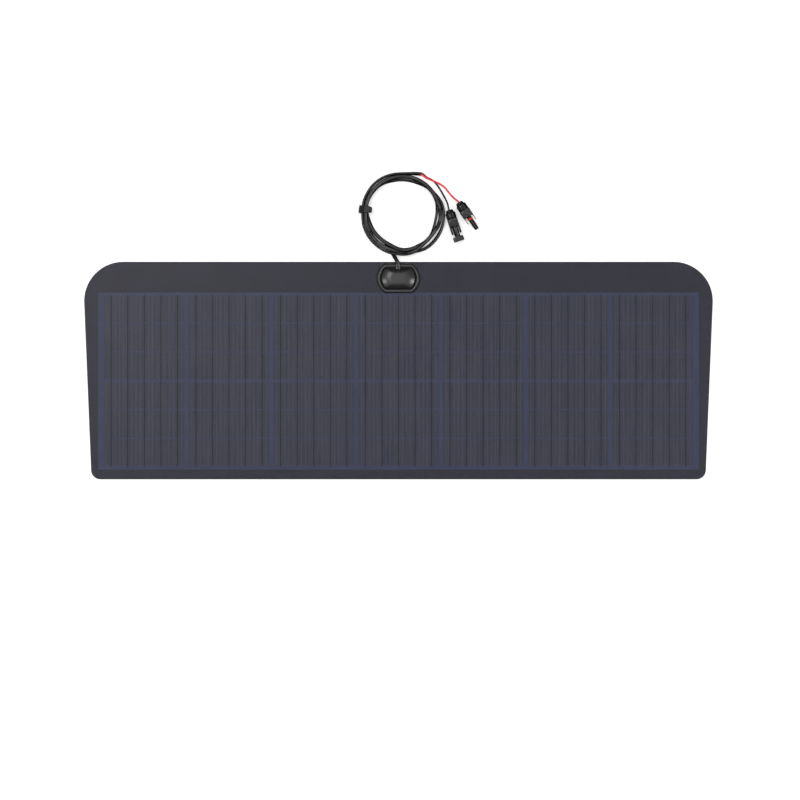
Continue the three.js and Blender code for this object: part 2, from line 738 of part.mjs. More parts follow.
const LATCH_BODY_HEIGHT = 7.2;
const LATCH_RECESS = [6.2, LATCH_BODY_HALF + THROUGH];
const LATCH_RECESS_HEIGHT = 4.2;
const LATCH_HALF_HEIGHT = 3.6;
const LATCH_INNER = [7, 6];
const LATCH_OUTER = 9.7;
const LATCH_BLADE = [8.3, 9.2];
const WINDOW_ALONG = [1.3, 4];
const WINDOW_ACROSS = [4.4, 6.2];
const NOSE_STEP = SEAL_RING_X - 2.3;
const SEAL_RING_HALF = 1.5;
const SEAL_RING_RADII = [4.75, 5.1];
const CONTACT_RADII = [1.5, 2];

// A block that stands beside the plug's axis, on one side of it, given as [near, far] from the axis.
function besideAxis(side, [start, end], [near, far], height) {
  const low = side > 0 ? near : -far;
  return solid(block([start, low, -height], [end, low + far - near, height]));
}

function makeLatchPlug() {
  const group = plugGroup(RED_PLUG);
  makeNut(group, "red_plug_nut");
  makeSealAndCage(group, "red");
  const body = bodyPlate(
    [
      [BODY_START, LATCH_BODY_HALF - 1],
      [BODY_START + 1.6, LATCH_BODY_HALF],
      [LATCH_BODY_END - 1.5, LATCH_BODY_HALF],
      [LATCH_BODY_END, 5.4],
    ],
    LATCH_BODY_HEIGHT,
  );
  const nose = solid(
    turned([
      [BODY_START + 1, 0],
      [BODY_START + 1, 5],
      [LATCH_BODY_END, NOSE_BASE_RADIUS + 0.6],
      [NOSE_STEP, NOSE_BASE_RADIUS],
      [NOSE_STEP, NOSE_RADIUS],
      [NOSE_LENGTH - 1, NOSE_RADIUS],
      [NOSE_LENGTH, NOSE_RADIUS - 0.5],
      [NOSE_LENGTH, 0],
    ]),
  );
  const bore = solid(bar(SLEEVE_START - THROUGH, NOSE_LENGTH + THROUGH, NOSE_BORE, 14));
  const recess = [LATCH_ROOT - GAP, LATCH_BODY_END + THROUGH];
  const window = WINDOW_ALONG.map((along) => BODY_START + along);
  const recesses = [1, -1].map((side) => besideAxis(side, recess, LATCH_RECESS, LATCH_RECESS_HEIGHT));
  const windows = [1, -1].map((side) => {
    return besideAxis(side, window, WINDOW_ACROSS, LATCH_BODY_HEIGHT + THROUGH);
  });
  const housing = cut(joined(body, nose, threadSleeve()), bore, ...recesses, ...windows);
  place(group, "red_plug_housing", geometryOf(housing), "plug");

  const ring = turned([
    [SEAL_RING_X - SEAL_RING_HALF, NOSE_RADIUS + GAP],
    [SEAL_RING_X - SEAL_RING_HALF, SEAL_RING_RADII[0]],
    [SEAL_RING_X - SEAL_RING_HALF / 2, SEAL_RING_RADII[1]],
    [SEAL_RING_X + SEAL_RING_HALF / 2, SEAL_RING_RADII[1]],
    [SEAL_RING_X + SEAL_RING_HALF, SEAL_RING_RADII[0]],
    [SEAL_RING_X + SEAL_RING_HALF, NOSE_RADIUS + GAP],
    [SEAL_RING_X - SEAL_RING_HALF, NOSE_RADIUS + GAP],
  ]);
  place(group, "red_plug_seal_ring", ring, "redRing");
  place(group, "red_plug_contact", sleeve(CONTACT_START, NOSE_LENGTH - 4, ...CONTACT_RADII, 12), "copper");

  // Sprung fingers, one on each side of the nose: a thick arm and then a thin blade with a hooked tip.
  for (const [hand, side] of [["left", 1], ["right", -1]]) {
    const outline = [
      [LATCH_ROOT, LATCH_INNER[0]],
      [LATCH_BODY_END + 0.7, LATCH_INNER[0]],
      [LATCH_BODY_END + 1.7, LATCH_INNER[1]],
      [LATCH_SHOULDER - 0.6, LATCH_INNER[1]],
      [LATCH_SHOULDER, LATCH_INNER[1] + 0.6],
      [LATCH_SHOULDER, LATCH_BLADE[0]],
      [LATCH_TIP - 1, LATCH_BLADE[0] + 0.2],
      [LATCH_TIP, LATCH_BLADE[0] + 0.5],
      [LATCH_TIP, LATCH_BLADE[1] + 0.2],
      [LATCH_TIP - 0.8, LATCH_BLADE[1] + 0.4],
      [LATCH_SHOULDER + 0.4, LATCH_BLADE[1]],
      [LATCH_SHOULDER - 0.6, LATCH_OUTER + 0.2],
      [LATCH_ROOT, LATCH_OUTER],
    ];
    const points = side > 0 ? outline : outline.map(([x, y]) => [x, -y]).reverse();
    const finger = plate(polygon(points), [-LATCH_HALF_HEIGHT, LATCH_HALF_HEIGHT]);
    place(group, `red_plug_latch_${hand}`, finger, "plug");
  }
}

const SHROUD_HEIGHT = 7;
const CROSSBAR_HEIGHT = 6.4;

function makeShroudPlug() {
  const group = plugGroup(BLACK_PLUG);
  makeNut(group, "black_plug_nut");
  makeSealAndCage(group, "black");
  const body = bodyPlate(
    [
      [BODY_START, SHROUD_HALF - 1],
      [BODY_START + 1.6, SHROUD_HALF],
      [SHROUD_ARM_END, SHROUD_HALF],
      [SHROUD_ARM_END, SHROUD_ARM_INNER],
      [SHROUD_SOLID_END, SHROUD_ARM_INNER],
      [SHROUD_SOLID_END, 4],
    ],
    SHROUD_HEIGHT,
  );
  const barrel = solid(bar(BODY_START + 1, CROSSBAR_START + 1, BARREL_RADIUS));
  const crossbar = bodyPlate(
    [
      [CROSSBAR_START, 6.2],
      [CROSSBAR_START + 1.4, CROSSBAR_HALF],
      [SHROUD_LENGTH - 1, CROSSBAR_HALF],
      [SHROUD_LENGTH, CROSSBAR_HALF - 1],
    ],
    CROSSBAR_HEIGHT,
  );
  const socket = solid(bar(SOCKET_FLOOR, SHROUD_LENGTH + THROUGH, SOCKET_BORE, 18));
  const mouth = solid(bar(SOCKET_MOUTH_START, SHROUD_LENGTH + THROUGH, SOCKET_MOUTH, 18));
  const bore = solid(bar(SLEEVE_START - THROUGH, SOCKET_FLOOR + THROUGH, NOSE_BORE, 14));
  const rear = solid(bar(SLEEVE_START - THROUGH, BODY_START, SLEEVE_INNER));
  const housing = cut(joined(body, barrel, crossbar, threadSleeve()), socket, mouth, bore, rear);
  place(group, "black_plug_housing", geometryOf(housing), "plug");

  const pin = turned([
    [CONTACT_START, 0],
    [CONTACT_START, PIN_ROOT_RADIUS],
    [PIN_ROOT_END, PIN_ROOT_RADIUS],
    [PIN_ROOT_END, PIN_RADIUS],
    [PIN_END - 1, PIN_RADIUS],
    [PIN_END, PIN_RADIUS - 0.45],
    [PIN_END, 0],
  ], 12);
  place(group, "black_plug_contact", pin, "copper");
}

makeLaminate();
makeCells();
makeEndRibbons();
makeOutputRibbons();
makeBoxBase();
makeBoxGasket();
makeBoxLid();
makeGland();
makeTerminals();
makeInnerCores();
makeCable();
makeTie();
makeCore("lead_red", RED_ROUTE, RED_PLUG, "redCore");
makeCore("lead_black", BLACK_ROUTE, BLACK_PLUG, "blackCore");
makeLatchPlug();
makeShroudPlug();

export default sheet;
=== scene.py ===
"""The looks of a flexible solar sheet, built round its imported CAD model.

Metres, in the CAD model's own frame: the sheet lies flat with its underside on z = 0, +X along its length,
+Y towards the junction box and +Z up. Lengths are written in millimetres where they are multiplied by MM.
"""

import json
import math

import bmesh
import bpy
from mathutils import Matrix, Vector


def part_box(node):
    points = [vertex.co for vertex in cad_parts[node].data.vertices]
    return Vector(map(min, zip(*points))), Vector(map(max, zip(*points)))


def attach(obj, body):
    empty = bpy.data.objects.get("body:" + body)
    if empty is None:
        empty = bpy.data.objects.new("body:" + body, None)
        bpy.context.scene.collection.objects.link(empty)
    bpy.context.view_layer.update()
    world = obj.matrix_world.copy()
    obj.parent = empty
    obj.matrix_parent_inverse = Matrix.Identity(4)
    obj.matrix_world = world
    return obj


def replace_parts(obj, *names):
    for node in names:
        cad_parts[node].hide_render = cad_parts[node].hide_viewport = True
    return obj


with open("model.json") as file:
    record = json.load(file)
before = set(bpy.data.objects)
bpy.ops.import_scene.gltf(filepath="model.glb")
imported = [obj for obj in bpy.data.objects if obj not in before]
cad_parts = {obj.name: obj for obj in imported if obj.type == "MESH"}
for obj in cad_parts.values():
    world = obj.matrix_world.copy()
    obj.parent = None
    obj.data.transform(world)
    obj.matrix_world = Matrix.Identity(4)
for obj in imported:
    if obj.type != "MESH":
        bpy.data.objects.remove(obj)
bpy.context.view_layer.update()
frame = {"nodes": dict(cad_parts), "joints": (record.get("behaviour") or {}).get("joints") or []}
MM = 0.001
BODY = "panel"


# ---- Camera ----

CAMERA_HEIGHT = 4.0
VIEW_WIDTH = 1.534
VIEW_CENTRE = (0.0029, -0.0564)
SENSOR = 36.0


def make_camera():
    """Straight above the sheet, with +Y at the top of the picture."""
    data = bpy.data.cameras.new("camera")
    data.sensor_width = SENSOR
    data.lens = SENSOR * CAMERA_HEIGHT / VIEW_WIDTH
    camera = bpy.data.objects.new("camera", data)
    camera.location = (*VIEW_CENTRE, CAMERA_HEIGHT)
    bpy.context.scene.collection.objects.link(camera)
    bpy.context.scene.camera = camera


make_camera()


# ---- Mesh helpers ----

def add_attribute(mesh, name, values):
    """Gives each vertex a vector that its material can read."""
    attribute = mesh.attributes.new(name, "FLOAT_VECTOR", "POINT")
    attribute.data.foreach_set("vector", [part for value in values for part in value])


def make_piece(name, points, faces, materials, face_slots=None, sharp=35, attributes=None, body=BODY):
    """A mesh piece that rides on a body, smooth except at edges sharper than that angle."""
    mesh = bpy.data.meshes.new(name)
    mesh.from_pydata([tuple(p) for p in points], [], faces)
    for material in materials:
        mesh.materials.append(material)
    if face_slots:
        mesh.polygons.foreach_set("material_index", face_slots)
    for key, values in (attributes or {}).items():
        add_attribute(mesh, key, values)
    tidy_normals(mesh)
    mesh.shade_smooth()
    mesh.set_sharp_from_angle(angle=math.radians(sharp))
    piece = bpy.data.objects.new(name, mesh)
    bpy.context.scene.collection.objects.link(piece)
    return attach(piece, body)


def tidy_normals(mesh):
    """Turns each closed shell's faces outwards."""
    work = bmesh.new()
    work.from_mesh(mesh)
    bmesh.ops.recalc_face_normals(work, faces=work.faces[:])
    work.to_mesh(mesh)
    work.free()


class Shape:
    """Points and faces gathered from several simple shells into one piece."""

    def __init__(self):
        self.points = []
        self.faces = []
        self.slots = []

    def add(self, points, faces, slot=0):
        start = len(self.points)
        self.points += [Vector(p) for p in points]
        self.faces += [tuple(start + index for index in face) for face in faces]
        self.slots += [slot] * len(faces)

    def add_block(self, low, high, slot=0):
        """A thin rectangular strip or bar, as part of a larger piece."""
        points = [(x, y, z) for x in (low[0], high[0]) for y in (low[1], high[1]) for z in (low[2], high[2])]
        faces = [(0, 1, 3, 2), (4, 6, 7, 5), (0, 4, 5, 1), (2, 3, 7, 6), (0, 2, 6, 4), (1, 5, 7, 3)]
        self.add(points, faces, slot)

    def add_plate(self, x, y, half_x, half_y, bottom, top, slot):
        """A flat block round a middle point; all in mm."""
        self.add_block([v * MM for v in (x - half_x, y - half_y, bottom)],
                       [v * MM for v in (x + half_x, y + half_y, top)], slot)

    def add_loft(self, rings, slot=0, closed=False):
        """A skin over rings of equal length, capped at both ends unless the rings close on themselves."""
        count = len(rings[0])
        points = [point for ring in rings for point in ring]
        faces = []
        for ring in range(len(rings) if closed else len(rings) - 1):
            here, there = ring * count, (ring + 1) % len(rings) * count
            for index in range(count):
                after = (index + 1) % count
                faces.append((here + index, here + after, there + after, there + index))
        if not closed:
            faces.append(tuple(reversed(range(count))))
            faces.append(tuple(range((len(rings) - 1) * count, len(rings) * count)))
        self.add(points, faces, slot)

    def add_bar(self, stations, slot=0):
        """A bar along X of rounded rectangles, in mm: (x, low y, high y, low z, high z, corner radius)."""
        self.add_loft([rounded_ring(*station) for station in stations], slot)

    def add_side_bar(self, side, stations):
        """A bar along X on the +Y or the -Y side; its stations are written for the +Y side."""
        self.add_bar([(x, *sorted((side * near, side * far)), *rest) for x, near, far, *rest in stations])

    def add_turned(self, profile, slot=0, sides=48, closed=False, lobes=0, root=1.0):
        """A skin turned about the X axis, of (x, radius) in mm; a third value of 1 cuts lobes into it."""
        rings = []
        for x, radius, *lobed in profile:
            ring = []
            for index in range(sides):
                angle = 2 * math.pi * index / sides
                wave = 0.5 + 0.5 * math.tanh(3.5 * math.cos(lobes * angle)) if lobed else 1.0
                reach = radius * (root + (1 - root) * wave) * MM
                ring.append((x * MM, reach * math.cos(angle), reach * math.sin(angle)))
            rings.append(ring)
        self.add_loft(rings, slot, closed)

    def piece(self, name, materials, sharp=35, place=None, attributes=None, body=BODY):
        points = [place @ point for point in self.points] if place else self.points
        return make_piece(name, points, self.faces, materials, self.slots, sharp, attributes, body)


def rounded_ring(x, low_y, high_y, low_z, high_z, radius, arc=4):
    """A rounded rectangle of that place and size in mm, standing across the X axis."""
    radius = min(radius, (high_y - low_y) / 2, (high_z - low_z) / 2)
    ring = []
    for corner, (y, z) in enumerate(((high_y, high_z), (low_y, high_z), (low_y, low_z), (high_y, low_z))):
        middle_y = y - math.copysign(radius, y - (low_y + high_y) / 2)
        middle_z = z - math.copysign(radius, z - (low_z + high_z) / 2)
        for step in range(arc + 1):
            angle = math.pi / 2 * (corner + step / arc)
            ring.append((x * MM, (middle_y + radius * math.cos(angle)) * MM,
                         (middle_z + radius * math.sin(angle)) * MM))
    return ring


def dress(material, *names):
    """Gives that material to CAD nodes that are shown as they are."""
    for name in names:
        slots = frame["nodes"][name].data.materials
        slots.clear()
        slots.append(material)


def stand_in(piece, slot, *names):
    """The piece is shown instead of those CAD nodes."""
    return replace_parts(piece, *names)


# ---- Node materials ----

class Shader:
    """A Principled material; most of its methods add a node and give back an output socket."""

    def __init__(self, name, roughness, metallic=0.0, specular=0.5):
        self.material = bpy.data.materials.new(name)
        self.material.use_nodes = True
        self.tree = self.material.node_tree
        self.surface = self.tree.nodes["Principled BSDF"]
        self.surface.inputs["Roughness"].default_value = roughness
        self.surface.inputs["Metallic"].default_value = metallic
        self.surface.inputs["Specular IOR Level"].default_value = specular

    def node(self, kind, inputs=(), output=0, **settings):
        made = self.tree.nodes.new("ShaderNode" + kind)
        for key, value in settings.items():
            setattr(made, key, value)
        for key, value in dict(inputs).items():
            self.feed(made.inputs[key], value)
        return made.outputs[output]

    def feed(self, socket, value):
        if isinstance(value, bpy.types.NodeSocket):
            self.tree.links.new(value, socket)
        else:
            socket.default_value = value

    def object_point(self):
        return self.node("TexCoord", output="Object")

    def attribute(self, name):
        return self.node("Attribute", output="Vector", attribute_name=name)

    def split(self, vector):
        made = self.tree.nodes.new("ShaderNodeSeparateXYZ")
        self.feed(made.inputs[0], vector)
        return made.outputs

    def join(self, x, y):
        return self.node("CombineXYZ", {0: x, 1: y})

    def stretched(self, vector, scale):
        return self.node("Mapping", {"Vector": vector, "Scale": scale})

    def noise(self, vector, scale, detail=3.0, roughness=0.5):
        keys = {"Vector": vector, "Scale": scale, "Detail": detail, "Roughness": roughness}
        return self.node("TexNoise", keys)

    def cells(self, vector, scale):
        return self.node("TexVoronoi", {"Vector": vector, "Scale": scale}, feature="F1")

    def calc(self, kind, a, b=0.0, clamp=False):
        return self.node("Math", {0: a, 1: b}, operation=kind, use_clamp=clamp)

    def plus(self, a, b, clamp=False):
        return self.calc("ADD", a, b, clamp)

    def times(self, a, b):
        return self.calc("MULTIPLY", a, b)

    def remap(self, value, low, high, to_low=0.0, to_high=1.0):
        keys = {"Value": value, "From Min": low, "From Max": high, "To Min": to_low, "To Max": to_high}
        return self.node("MapRange", keys)

    def spread(self, noise, to_low=0.0, to_high=1.0):
        """The middle of a noise's range, where most of its values lie, spread over another range."""
        return self.remap(noise, 0.3, 0.7, to_low, to_high)

    def blend(self, share, a, b):
        """One colour turning into another as share goes from 0 to 1."""
        made = self.tree.nodes.new("ShaderNodeMix")
        made.data_type = "RGBA"
        sockets = [x for x in made.inputs if x.enabled]
        self.feed(sockets[0], share)
        for socket, colour in zip(sockets[1:], (a, b)):
            self.feed(socket, (*colour, 1.0) if isinstance(colour, tuple) else colour)
        return next(x for x in made.outputs if x.enabled)

    def colour(self, value):
        self.feed(self.surface.inputs["Base Color"], value)

    def mottled(self, share, tone, low, high):
        """A tone that a pattern darkens and lightens, between those shares of it."""
        dark, light = (tuple(part * level for part in tone) for level in (low, high))
        self.colour(self.blend(share, dark, light))

    def rough(self, value):
        self.feed(self.surface.inputs["Roughness"], value)

    def seen_through(self, alpha):
        self.feed(self.surface.inputs["Alpha"], alpha)

    def bump(self, height, distance):
        """Bumps of that height in metres."""
        self.feed(self.surface.inputs["Normal"], self.node("Bump", {"Height": height, "Distance": distance}))


# ---- Materials ----

# The laminate's gloss, and its colours in linear light.
SHEET_GLOSS = 0.34
WEAVE_ROUGHNESS = 0.45
CELL_LOW = (0.006, 0.012, 0.052)
CELL_HIGH = (0.034, 0.036, 0.076)
# The dark tone painted on the cells beside each ribbon, as shade.
RIBBON_PAINTED_SHADE = (0.006, 0.006, 0.011)
BAND_BLUE = (0.029, 0.040, 0.12)
MARGIN_LOW = (0.0035, 0.0035, 0.019)
MARGIN_HIGH = (0.0085, 0.0078, 0.029)
BORDER_LOW = (0.032, 0.041, 0.115)
BORDER_HIGH = (0.044, 0.056, 0.148)
# How far up the sheet the blue border goes.
BORDER_END = 151
CELL_HALF = 79.375
CELL_RIM = 3.0
RIBBON_PITCH = 31.75


def moulded_plastic(name, tone, roughness=0.48, grain=0.03, scale=2600, gloss=0.5):
    """Spark-textured black plastic: a fine grain, and faint cloudy changes of tone and gloss."""
    made = Shader(name, roughness, specular=gloss)
    point = made.object_point()
    cloud = made.noise(point, 120, 4)
    fine = made.noise(point, scale, 2)
    made.mottled(made.spread(cloud), tone, 0.82, 1.2)
    made.rough(made.spread(fine, roughness - 0.07, roughness + 0.09))
    made.bump(fine, grain * MM)
    return made.material


def jacket(name, tone, roughness, streak=0.02, mottle=0.25, gloss=0.5):
    """Extruded insulation: faint lines along it and a dull bloom, placed by its own length and girth."""
    made = Shader(name, roughness, specular=gloss)
    run = made.attribute("run")
    lines = made.noise(made.stretched(run, (12, 1400, 1400)), 1.0, 2)
    bloom = made.noise(made.stretched(run, (60, 300, 300)), 1.0, 4)
    made.mottled(made.spread(bloom), tone, 1 - mottle, 1 + mottle)
    made.rough(made.remap(bloom, 0.25, 0.75, roughness - 0.03, roughness + 0.05))
    made.bump(made.plus(lines, made.times(bloom, 0.6)), streak * MM)
    return made.material


def core_end(name, tone):
    """Insulation on the short ends inside the box, mottled in the object's own space."""
    made = Shader(name, 0.42)
    bloom = made.noise(made.object_point(), 350, 4)
    made.mottled(made.spread(bloom), tone, 0.8, 1.2)
    made.bump(bloom, 0.015 * MM)
    return made.material


def soft_rubber(name, tone, roughness=0.75):
    """Matte rubber, slightly dusty."""
    made = Shader(name, roughness, specular=0.35)
    dust = made.noise(made.object_point(), 700, 5, 0.6)
    made.mottled(dust, tone, 0.8, 1.25)
    made.bump(dust, 0.04 * MM)
    return made.material


def tinned_metal(name, tone, roughness=0.35):
    """Rolled, tinned copper with lengthwise drawing marks."""
    made = Shader(name, roughness, metallic=1.0)
    point = made.object_point()
    marks = made.noise(made.stretched(point, (4000, 260, 4000)), 1.0, 3)
    cloud = made.noise(point, 400, 4)
    made.mottled(made.spread(cloud), tone, 0.75, 1.15)
    made.rough(made.spread(marks, roughness - 0.08, roughness + 0.12))
    made.bump(marks, 0.01 * MM)
    return made.material


def weave_height(made, point, pitch):
    """The height of a plain weave of that pitch: warp threads over and under weft threads."""
    x, y, _ = made.split(point)
    warp = made.calc("SINE", made.times(x, math.pi / pitch))
    weft = made.calc("SINE", made.times(y, math.pi / pitch))
    return made.times(warp, weft)


def woven_sheet(name, low, high, pitch, height):
    """A resin-filled glass-fibre layer, with its weave faintly showing."""
    made = Shader(name, WEAVE_ROUGHNESS, specular=SHEET_GLOSS)
    point = made.object_point()
    weave = weave_height(made, point, pitch * MM)
    cloud = made.noise(made.stretched(point, (30, 30, 30)), 1.0, 4)
    share = made.plus(made.times(weave, 0.25), made.spread(cloud), clamp=True)
    made.colour(made.blend(share, low, high))
    made.rough(made.spread(cloud, WEAVE_ROUGHNESS - 0.05, WEAVE_ROUGHNESS + 0.06))
    made.bump(weave, height * MM)
    return made.material


def wafer_glass():
    """A blue-black silicon cell: grainy vertical streaks, painted shade along both sides of each ribbon, and
    a bluer rim along the wafer's outer edge.
    """
    made = Shader("silicon_cell", 0.4, specular=SHEET_GLOSS)
    x, y, seed = made.split(made.attribute("wafer"))
    place = made.join(made.plus(x, made.times(seed, 400.0)), y)
    broad = made.noise(made.stretched(place, (0.11, 0.006, 1)), 1.0, 3, 0.6)
    fine = made.noise(made.stretched(place, (0.5, 0.02, 1)), 1.0, 3, 0.6)
    grain = made.noise(made.stretched(place, (1.6, 1.2, 1)), 1.0, 2)
    streak = made.plus(made.times(broad, 0.6), made.times(fine, 0.4))
    tone = made.blend(made.remap(streak, 0.38, 0.62), CELL_LOW, CELL_HIGH)
    # Painted shade: the cell is darkened within about 2 mm of each ribbon's middle line, fading outwards.
    cycle = made.calc("DIVIDE", x, RIBBON_PITCH)
    astray = made.calc("ABSOLUTE", made.calc("SUBTRACT", cycle, made.calc("ROUND", cycle)))
    beside = made.times(astray, RIBBON_PITCH)
    tone = made.blend(made.remap(beside, 0.9, 1.9, 0.55, 0.0), tone, RIBBON_PAINTED_SHADE)
    reach = made.calc("MAXIMUM", made.calc("ABSOLUTE", x), made.calc("ABSOLUTE", y))
    rim = made.remap(reach, CELL_HALF - CELL_RIM, CELL_HALF - 0.4, 0.25, 1.0)
    rim = made.times(rim, made.calc("GREATER_THAN", reach, CELL_HALF - CELL_RIM))
    made.colour(made.blend(rim, tone, BAND_BLUE))
    made.rough(made.spread(grain, 0.34, 0.46))
    made.bump(grain, 0.002 * MM)
    return made.material


def printed_silver():
    """Screen-printed silver lines, dulled by the layers over them."""
    made = Shader("printed_silver", 0.5, specular=SHEET_GLOSS)
    paste = made.noise(made.object_point(), 2500, 3)
    made.colour(made.blend(paste, (0.11, 0.11, 0.135), (0.17, 0.17, 0.2)))
    made.bump(paste, 0.002 * MM)
    return made.material


def coated_ribbon():
    """A blackened copper ribbon with a slightly uneven coating and drawn edges."""
    made = Shader("black_ribbon", 0.5, specular=0.1)
    point = made.object_point()
    coat = made.noise(made.stretched(point, (900, 60, 900)), 1.0, 4)
    made.colour(made.blend(made.spread(coat), (0.004, 0.004, 0.007), (0.009, 0.009, 0.014)))
    made.rough(made.spread(coat, 0.42, 0.58))
    made.bump(coat, 0.004 * MM)
    return made.material


def bordered_ribbon():
    """A flat ribbon, blue-black beside the cells like the border there, and masked black above BORDER_END."""
    made = Shader("output_ribbon", 0.45, specular=SHEET_GLOSS)
    point = made.object_point()
    _, y, _ = made.split(point)
    weave = weave_height(made, point, 0.7 * MM)
    cloud = made.noise(made.stretched(point, (26, 26, 26)), 1.0, 4)
    share = made.plus(made.times(weave, 0.2), made.spread(cloud), clamp=True)
    masked = made.calc("GREATER_THAN", y, BORDER_END * MM)
    made.colour(made.blend(masked, made.blend(share, BORDER_LOW, BORDER_HIGH),
                           made.blend(share, MARGIN_LOW, MARGIN_HIGH)))
    made.bump(weave, 0.003 * MM)
    return made.material


def clear_layer(name, alpha, low, high, roughness, grain, scale):
    """A matte, finely embossed clear polymer layer with a slight haze."""
    made = Shader(name, roughness, specular=SHEET_GLOSS)
    point = made.object_point()
    emboss = made.cells(point, scale)
    cloud = made.noise(made.stretched(point, (14, 9, 14)), 1.0, 4)
    made.colour(made.blend(made.spread(cloud), low, high))
    made.rough(made.spread(cloud, roughness - 0.04, roughness + 0.05))
    made.bump(made.times(emboss, -1.0), grain * MM)
    made.seen_through(alpha)
    return made.material


def dark_backing(name, low, high, roughness):
    """Black-pigmented polymer backing with a faint calendered grain and cloudy tone."""
    made = Shader(name, roughness, specular=SHEET_GLOSS)
    point = made.object_point()
    cloud = made.noise(made.stretched(point, (22, 22, 22)), 1.0, 5)
    grain = made.noise(made.stretched(point, (900, 1500, 900)), 1.0, 3)
    made.colour(made.blend(made.spread(cloud), low, high))
    made.rough(made.spread(grain, roughness - 0.05, roughness + 0.07))
    made.bump(grain, 0.004 * MM)
    return made.material


def hook_and_loop():
    """Looped black strap: a dense pile over a coarse weave."""
    made = Shader("hook_and_loop", 0.9, specular=0.15)
    point = made.object_point()
    pile = made.noise(point, 3200, 4, 0.7)
    weave = weave_height(made, point, 0.9 * MM)
    share = made.plus(made.times(weave, 0.25), made.spread(pile), clamp=True)
    made.colour(made.blend(share, (0.004, 0.004, 0.005), (0.02, 0.02, 0.021)))
    made.bump(made.plus(pile, made.times(weave, 0.4)), 0.25 * MM)
    made.surface.inputs["Sheen Weight"].default_value = 0.15
    return made.material


def woven_tape():
    """The tie's stitched end tab: a flat, slightly shiny black tape."""
    made = Shader("woven_tape", 0.6)
    point = made.object_point()
    weave = weave_height(made, point, 0.55 * MM)
    worn = made.noise(point, 500, 4)
    share = made.plus(made.times(weave, 0.3), made.spread(worn), clamp=True)
    made.colour(made.blend(share, (0.018, 0.018, 0.019), (0.045, 0.045, 0.047)))
    made.bump(weave, 0.12 * MM)
    return made.material


# ---- Cable and cores ----

CABLE_WIDTH = 7.4 * MM
CABLE_THICKNESS = 4.8 * MM
CORE_DIAMETER = 3.4 * MM

# The jacketed cable from inside the gland, over the sheet's edge, to where the coil begins.
CABLE_ROUTE = [
    (-0.0008, 0.1934, 0.009),
    (-0.0008, 0.199, 0.009),
    (-0.0008, 0.2046, 0.009),
    (-0.0024, 0.209, 0.0082),
    (-0.0047, 0.2129, 0.0064),
    (-0.0066, 0.2161, 0.0049),
    (-0.0078, 0.2185, 0.0039),
]

# The coil's turns, clockwise from COIL_START: (angle about the coil's centre, radius in mm, roll in degrees).
# A roll of 0 lays the flat cable on its broad side and 90 stands it on its edge.
COIL_START = 257
COIL_TURNS = [
    [(257, 80.2, 0), (254, 75.6, 0), (250.5, 70.7, 0), (246.5, 67.2, 0), (242, 65.2, 0), (236, 64.3, 0),
     (225, 64.1, 0), (212, 64.8, 0), (200, 65.6, 0), (190, 66.7, 0), (182, 68.7, 0), (174, 70.7, 0),
     (165, 71.9, 0), (155, 72.0, 0), (142, 71.5, 0), (128, 70.7, 0), (117, 68.6, 28), (107, 66.2, 62),
     (97, 64.8, 88), (85, 64.3, 90), (74, 64.4, 88), (64, 65.6, 58), (54, 68.0, 22), (44, 69.8, 0),
     (32, 69.7, 0), (20, 68.9, 12), (10, 66.8, 50)],
    [(360, 64.8, 84), (350, 63.7, 90), (341, 64.2, 84), (333, 65.7, 56), (325, 67.8, 20), (316, 68.9, 0),
     (306, 68.9, 0), (297, 68.4, 0), (288, 68.9, 0), (278, 69.3, 0), (269, 69.0, 0), (262, 67.8, 0),
     (256, 66.3, 0), (251, 65.2, 0), (245, 64.4, 0), (235, 64.2, 0), (222, 64.4, 0), (210, 65.4, 0),
     (200, 67.0, 0), (190, 69.1, 0), (182, 70.5, 0), (174, 71.0, 0), (165, 71.9, 0), (155, 72.0, 0),
     (142, 71.6, 0), (127, 71.3, 0), (112, 71.0, 0), (97, 70.8, 0), (76, 70.7, 0), (56, 70.0, 0),
     (46, 69.9, 0), (35, 70.4, 0), (27, 72.4, 12), (18, 75.4, 45), (9, 77.6, 78)],
    [(360, 78.5, 88), (351, 78.8, 88), (342, 79.2, 70), (330, 79.4, 52), (316, 79.4, 50), (304, 79.2, 58),
     (296, 78.2, 74), (288, 76.6, 86), (280, 75.5, 88), (272, 74.8, 80), (265, 73.7, 45), (258, 72.8, 10),
     (251, 72.5, 0), (239, 72.5, 0), (220, 72.6, 0), (208, 72.6, 0), (197, 72.2, 0), (186, 71.3, 0),
     (174, 71.0, 0), (163, 71.8, 0), (152, 72.2, 0), (140, 71.8, 0), (118, 71.2, 0), (97, 70.7, 0),
     (76, 70.7, 0), (57, 70.0, 0), (34, 69.8, 0), (24, 69.9, 0), (14, 70.6, 0), (5, 71.7, 0)],
    [(356, 72.0, 0), (348, 71.9, 0), (340, 71.2, 0), (332, 69.8, 0), (324, 69.1, 0), (314, 69.1, 0),
     (306, 69.8, 0), (298, 72.0, 0), (290, 74.8, 0), (283, 76.6, 0), (276, 77.8, 30), (269, 78.5, 66),
     (262, 78.8, 86), (252, 78.9, 90), (245, 79.0, 90), (231, 79.0, 90), (208, 78.9, 90), (197, 78.6, 90),
     (186, 77.6, 90), (174, 77.4, 90), (163, 78.4, 90), (150, 78.8, 90), (138, 79.3, 90), (125, 79.2, 90),
     (112, 78.5, 90), (102, 77.6, 90), (92, 77.0, 88), (84, 77.4, 78), (78, 78.7, 62), (72, 80.8, 45),
     (68, 82.4, 35), (65, 83.8, 28)],
]
# Degrees between the samples taken along the coil.
COIL_STEP = 3
COIL_GAP = 0.02
FLOOR_GAP = 0.1
HEIGHT_STEP = 0.1
TIE_ANGLE = 174
# How high the strap under the coil lifts it, out to 8 degrees from the tie and fading by 16.
TIE_FLOOR = 1.45
TIE_FADE = (8, 16)
CABLE_STEP = 2.4 * MM
CORE_STEP = 1.6 * MM

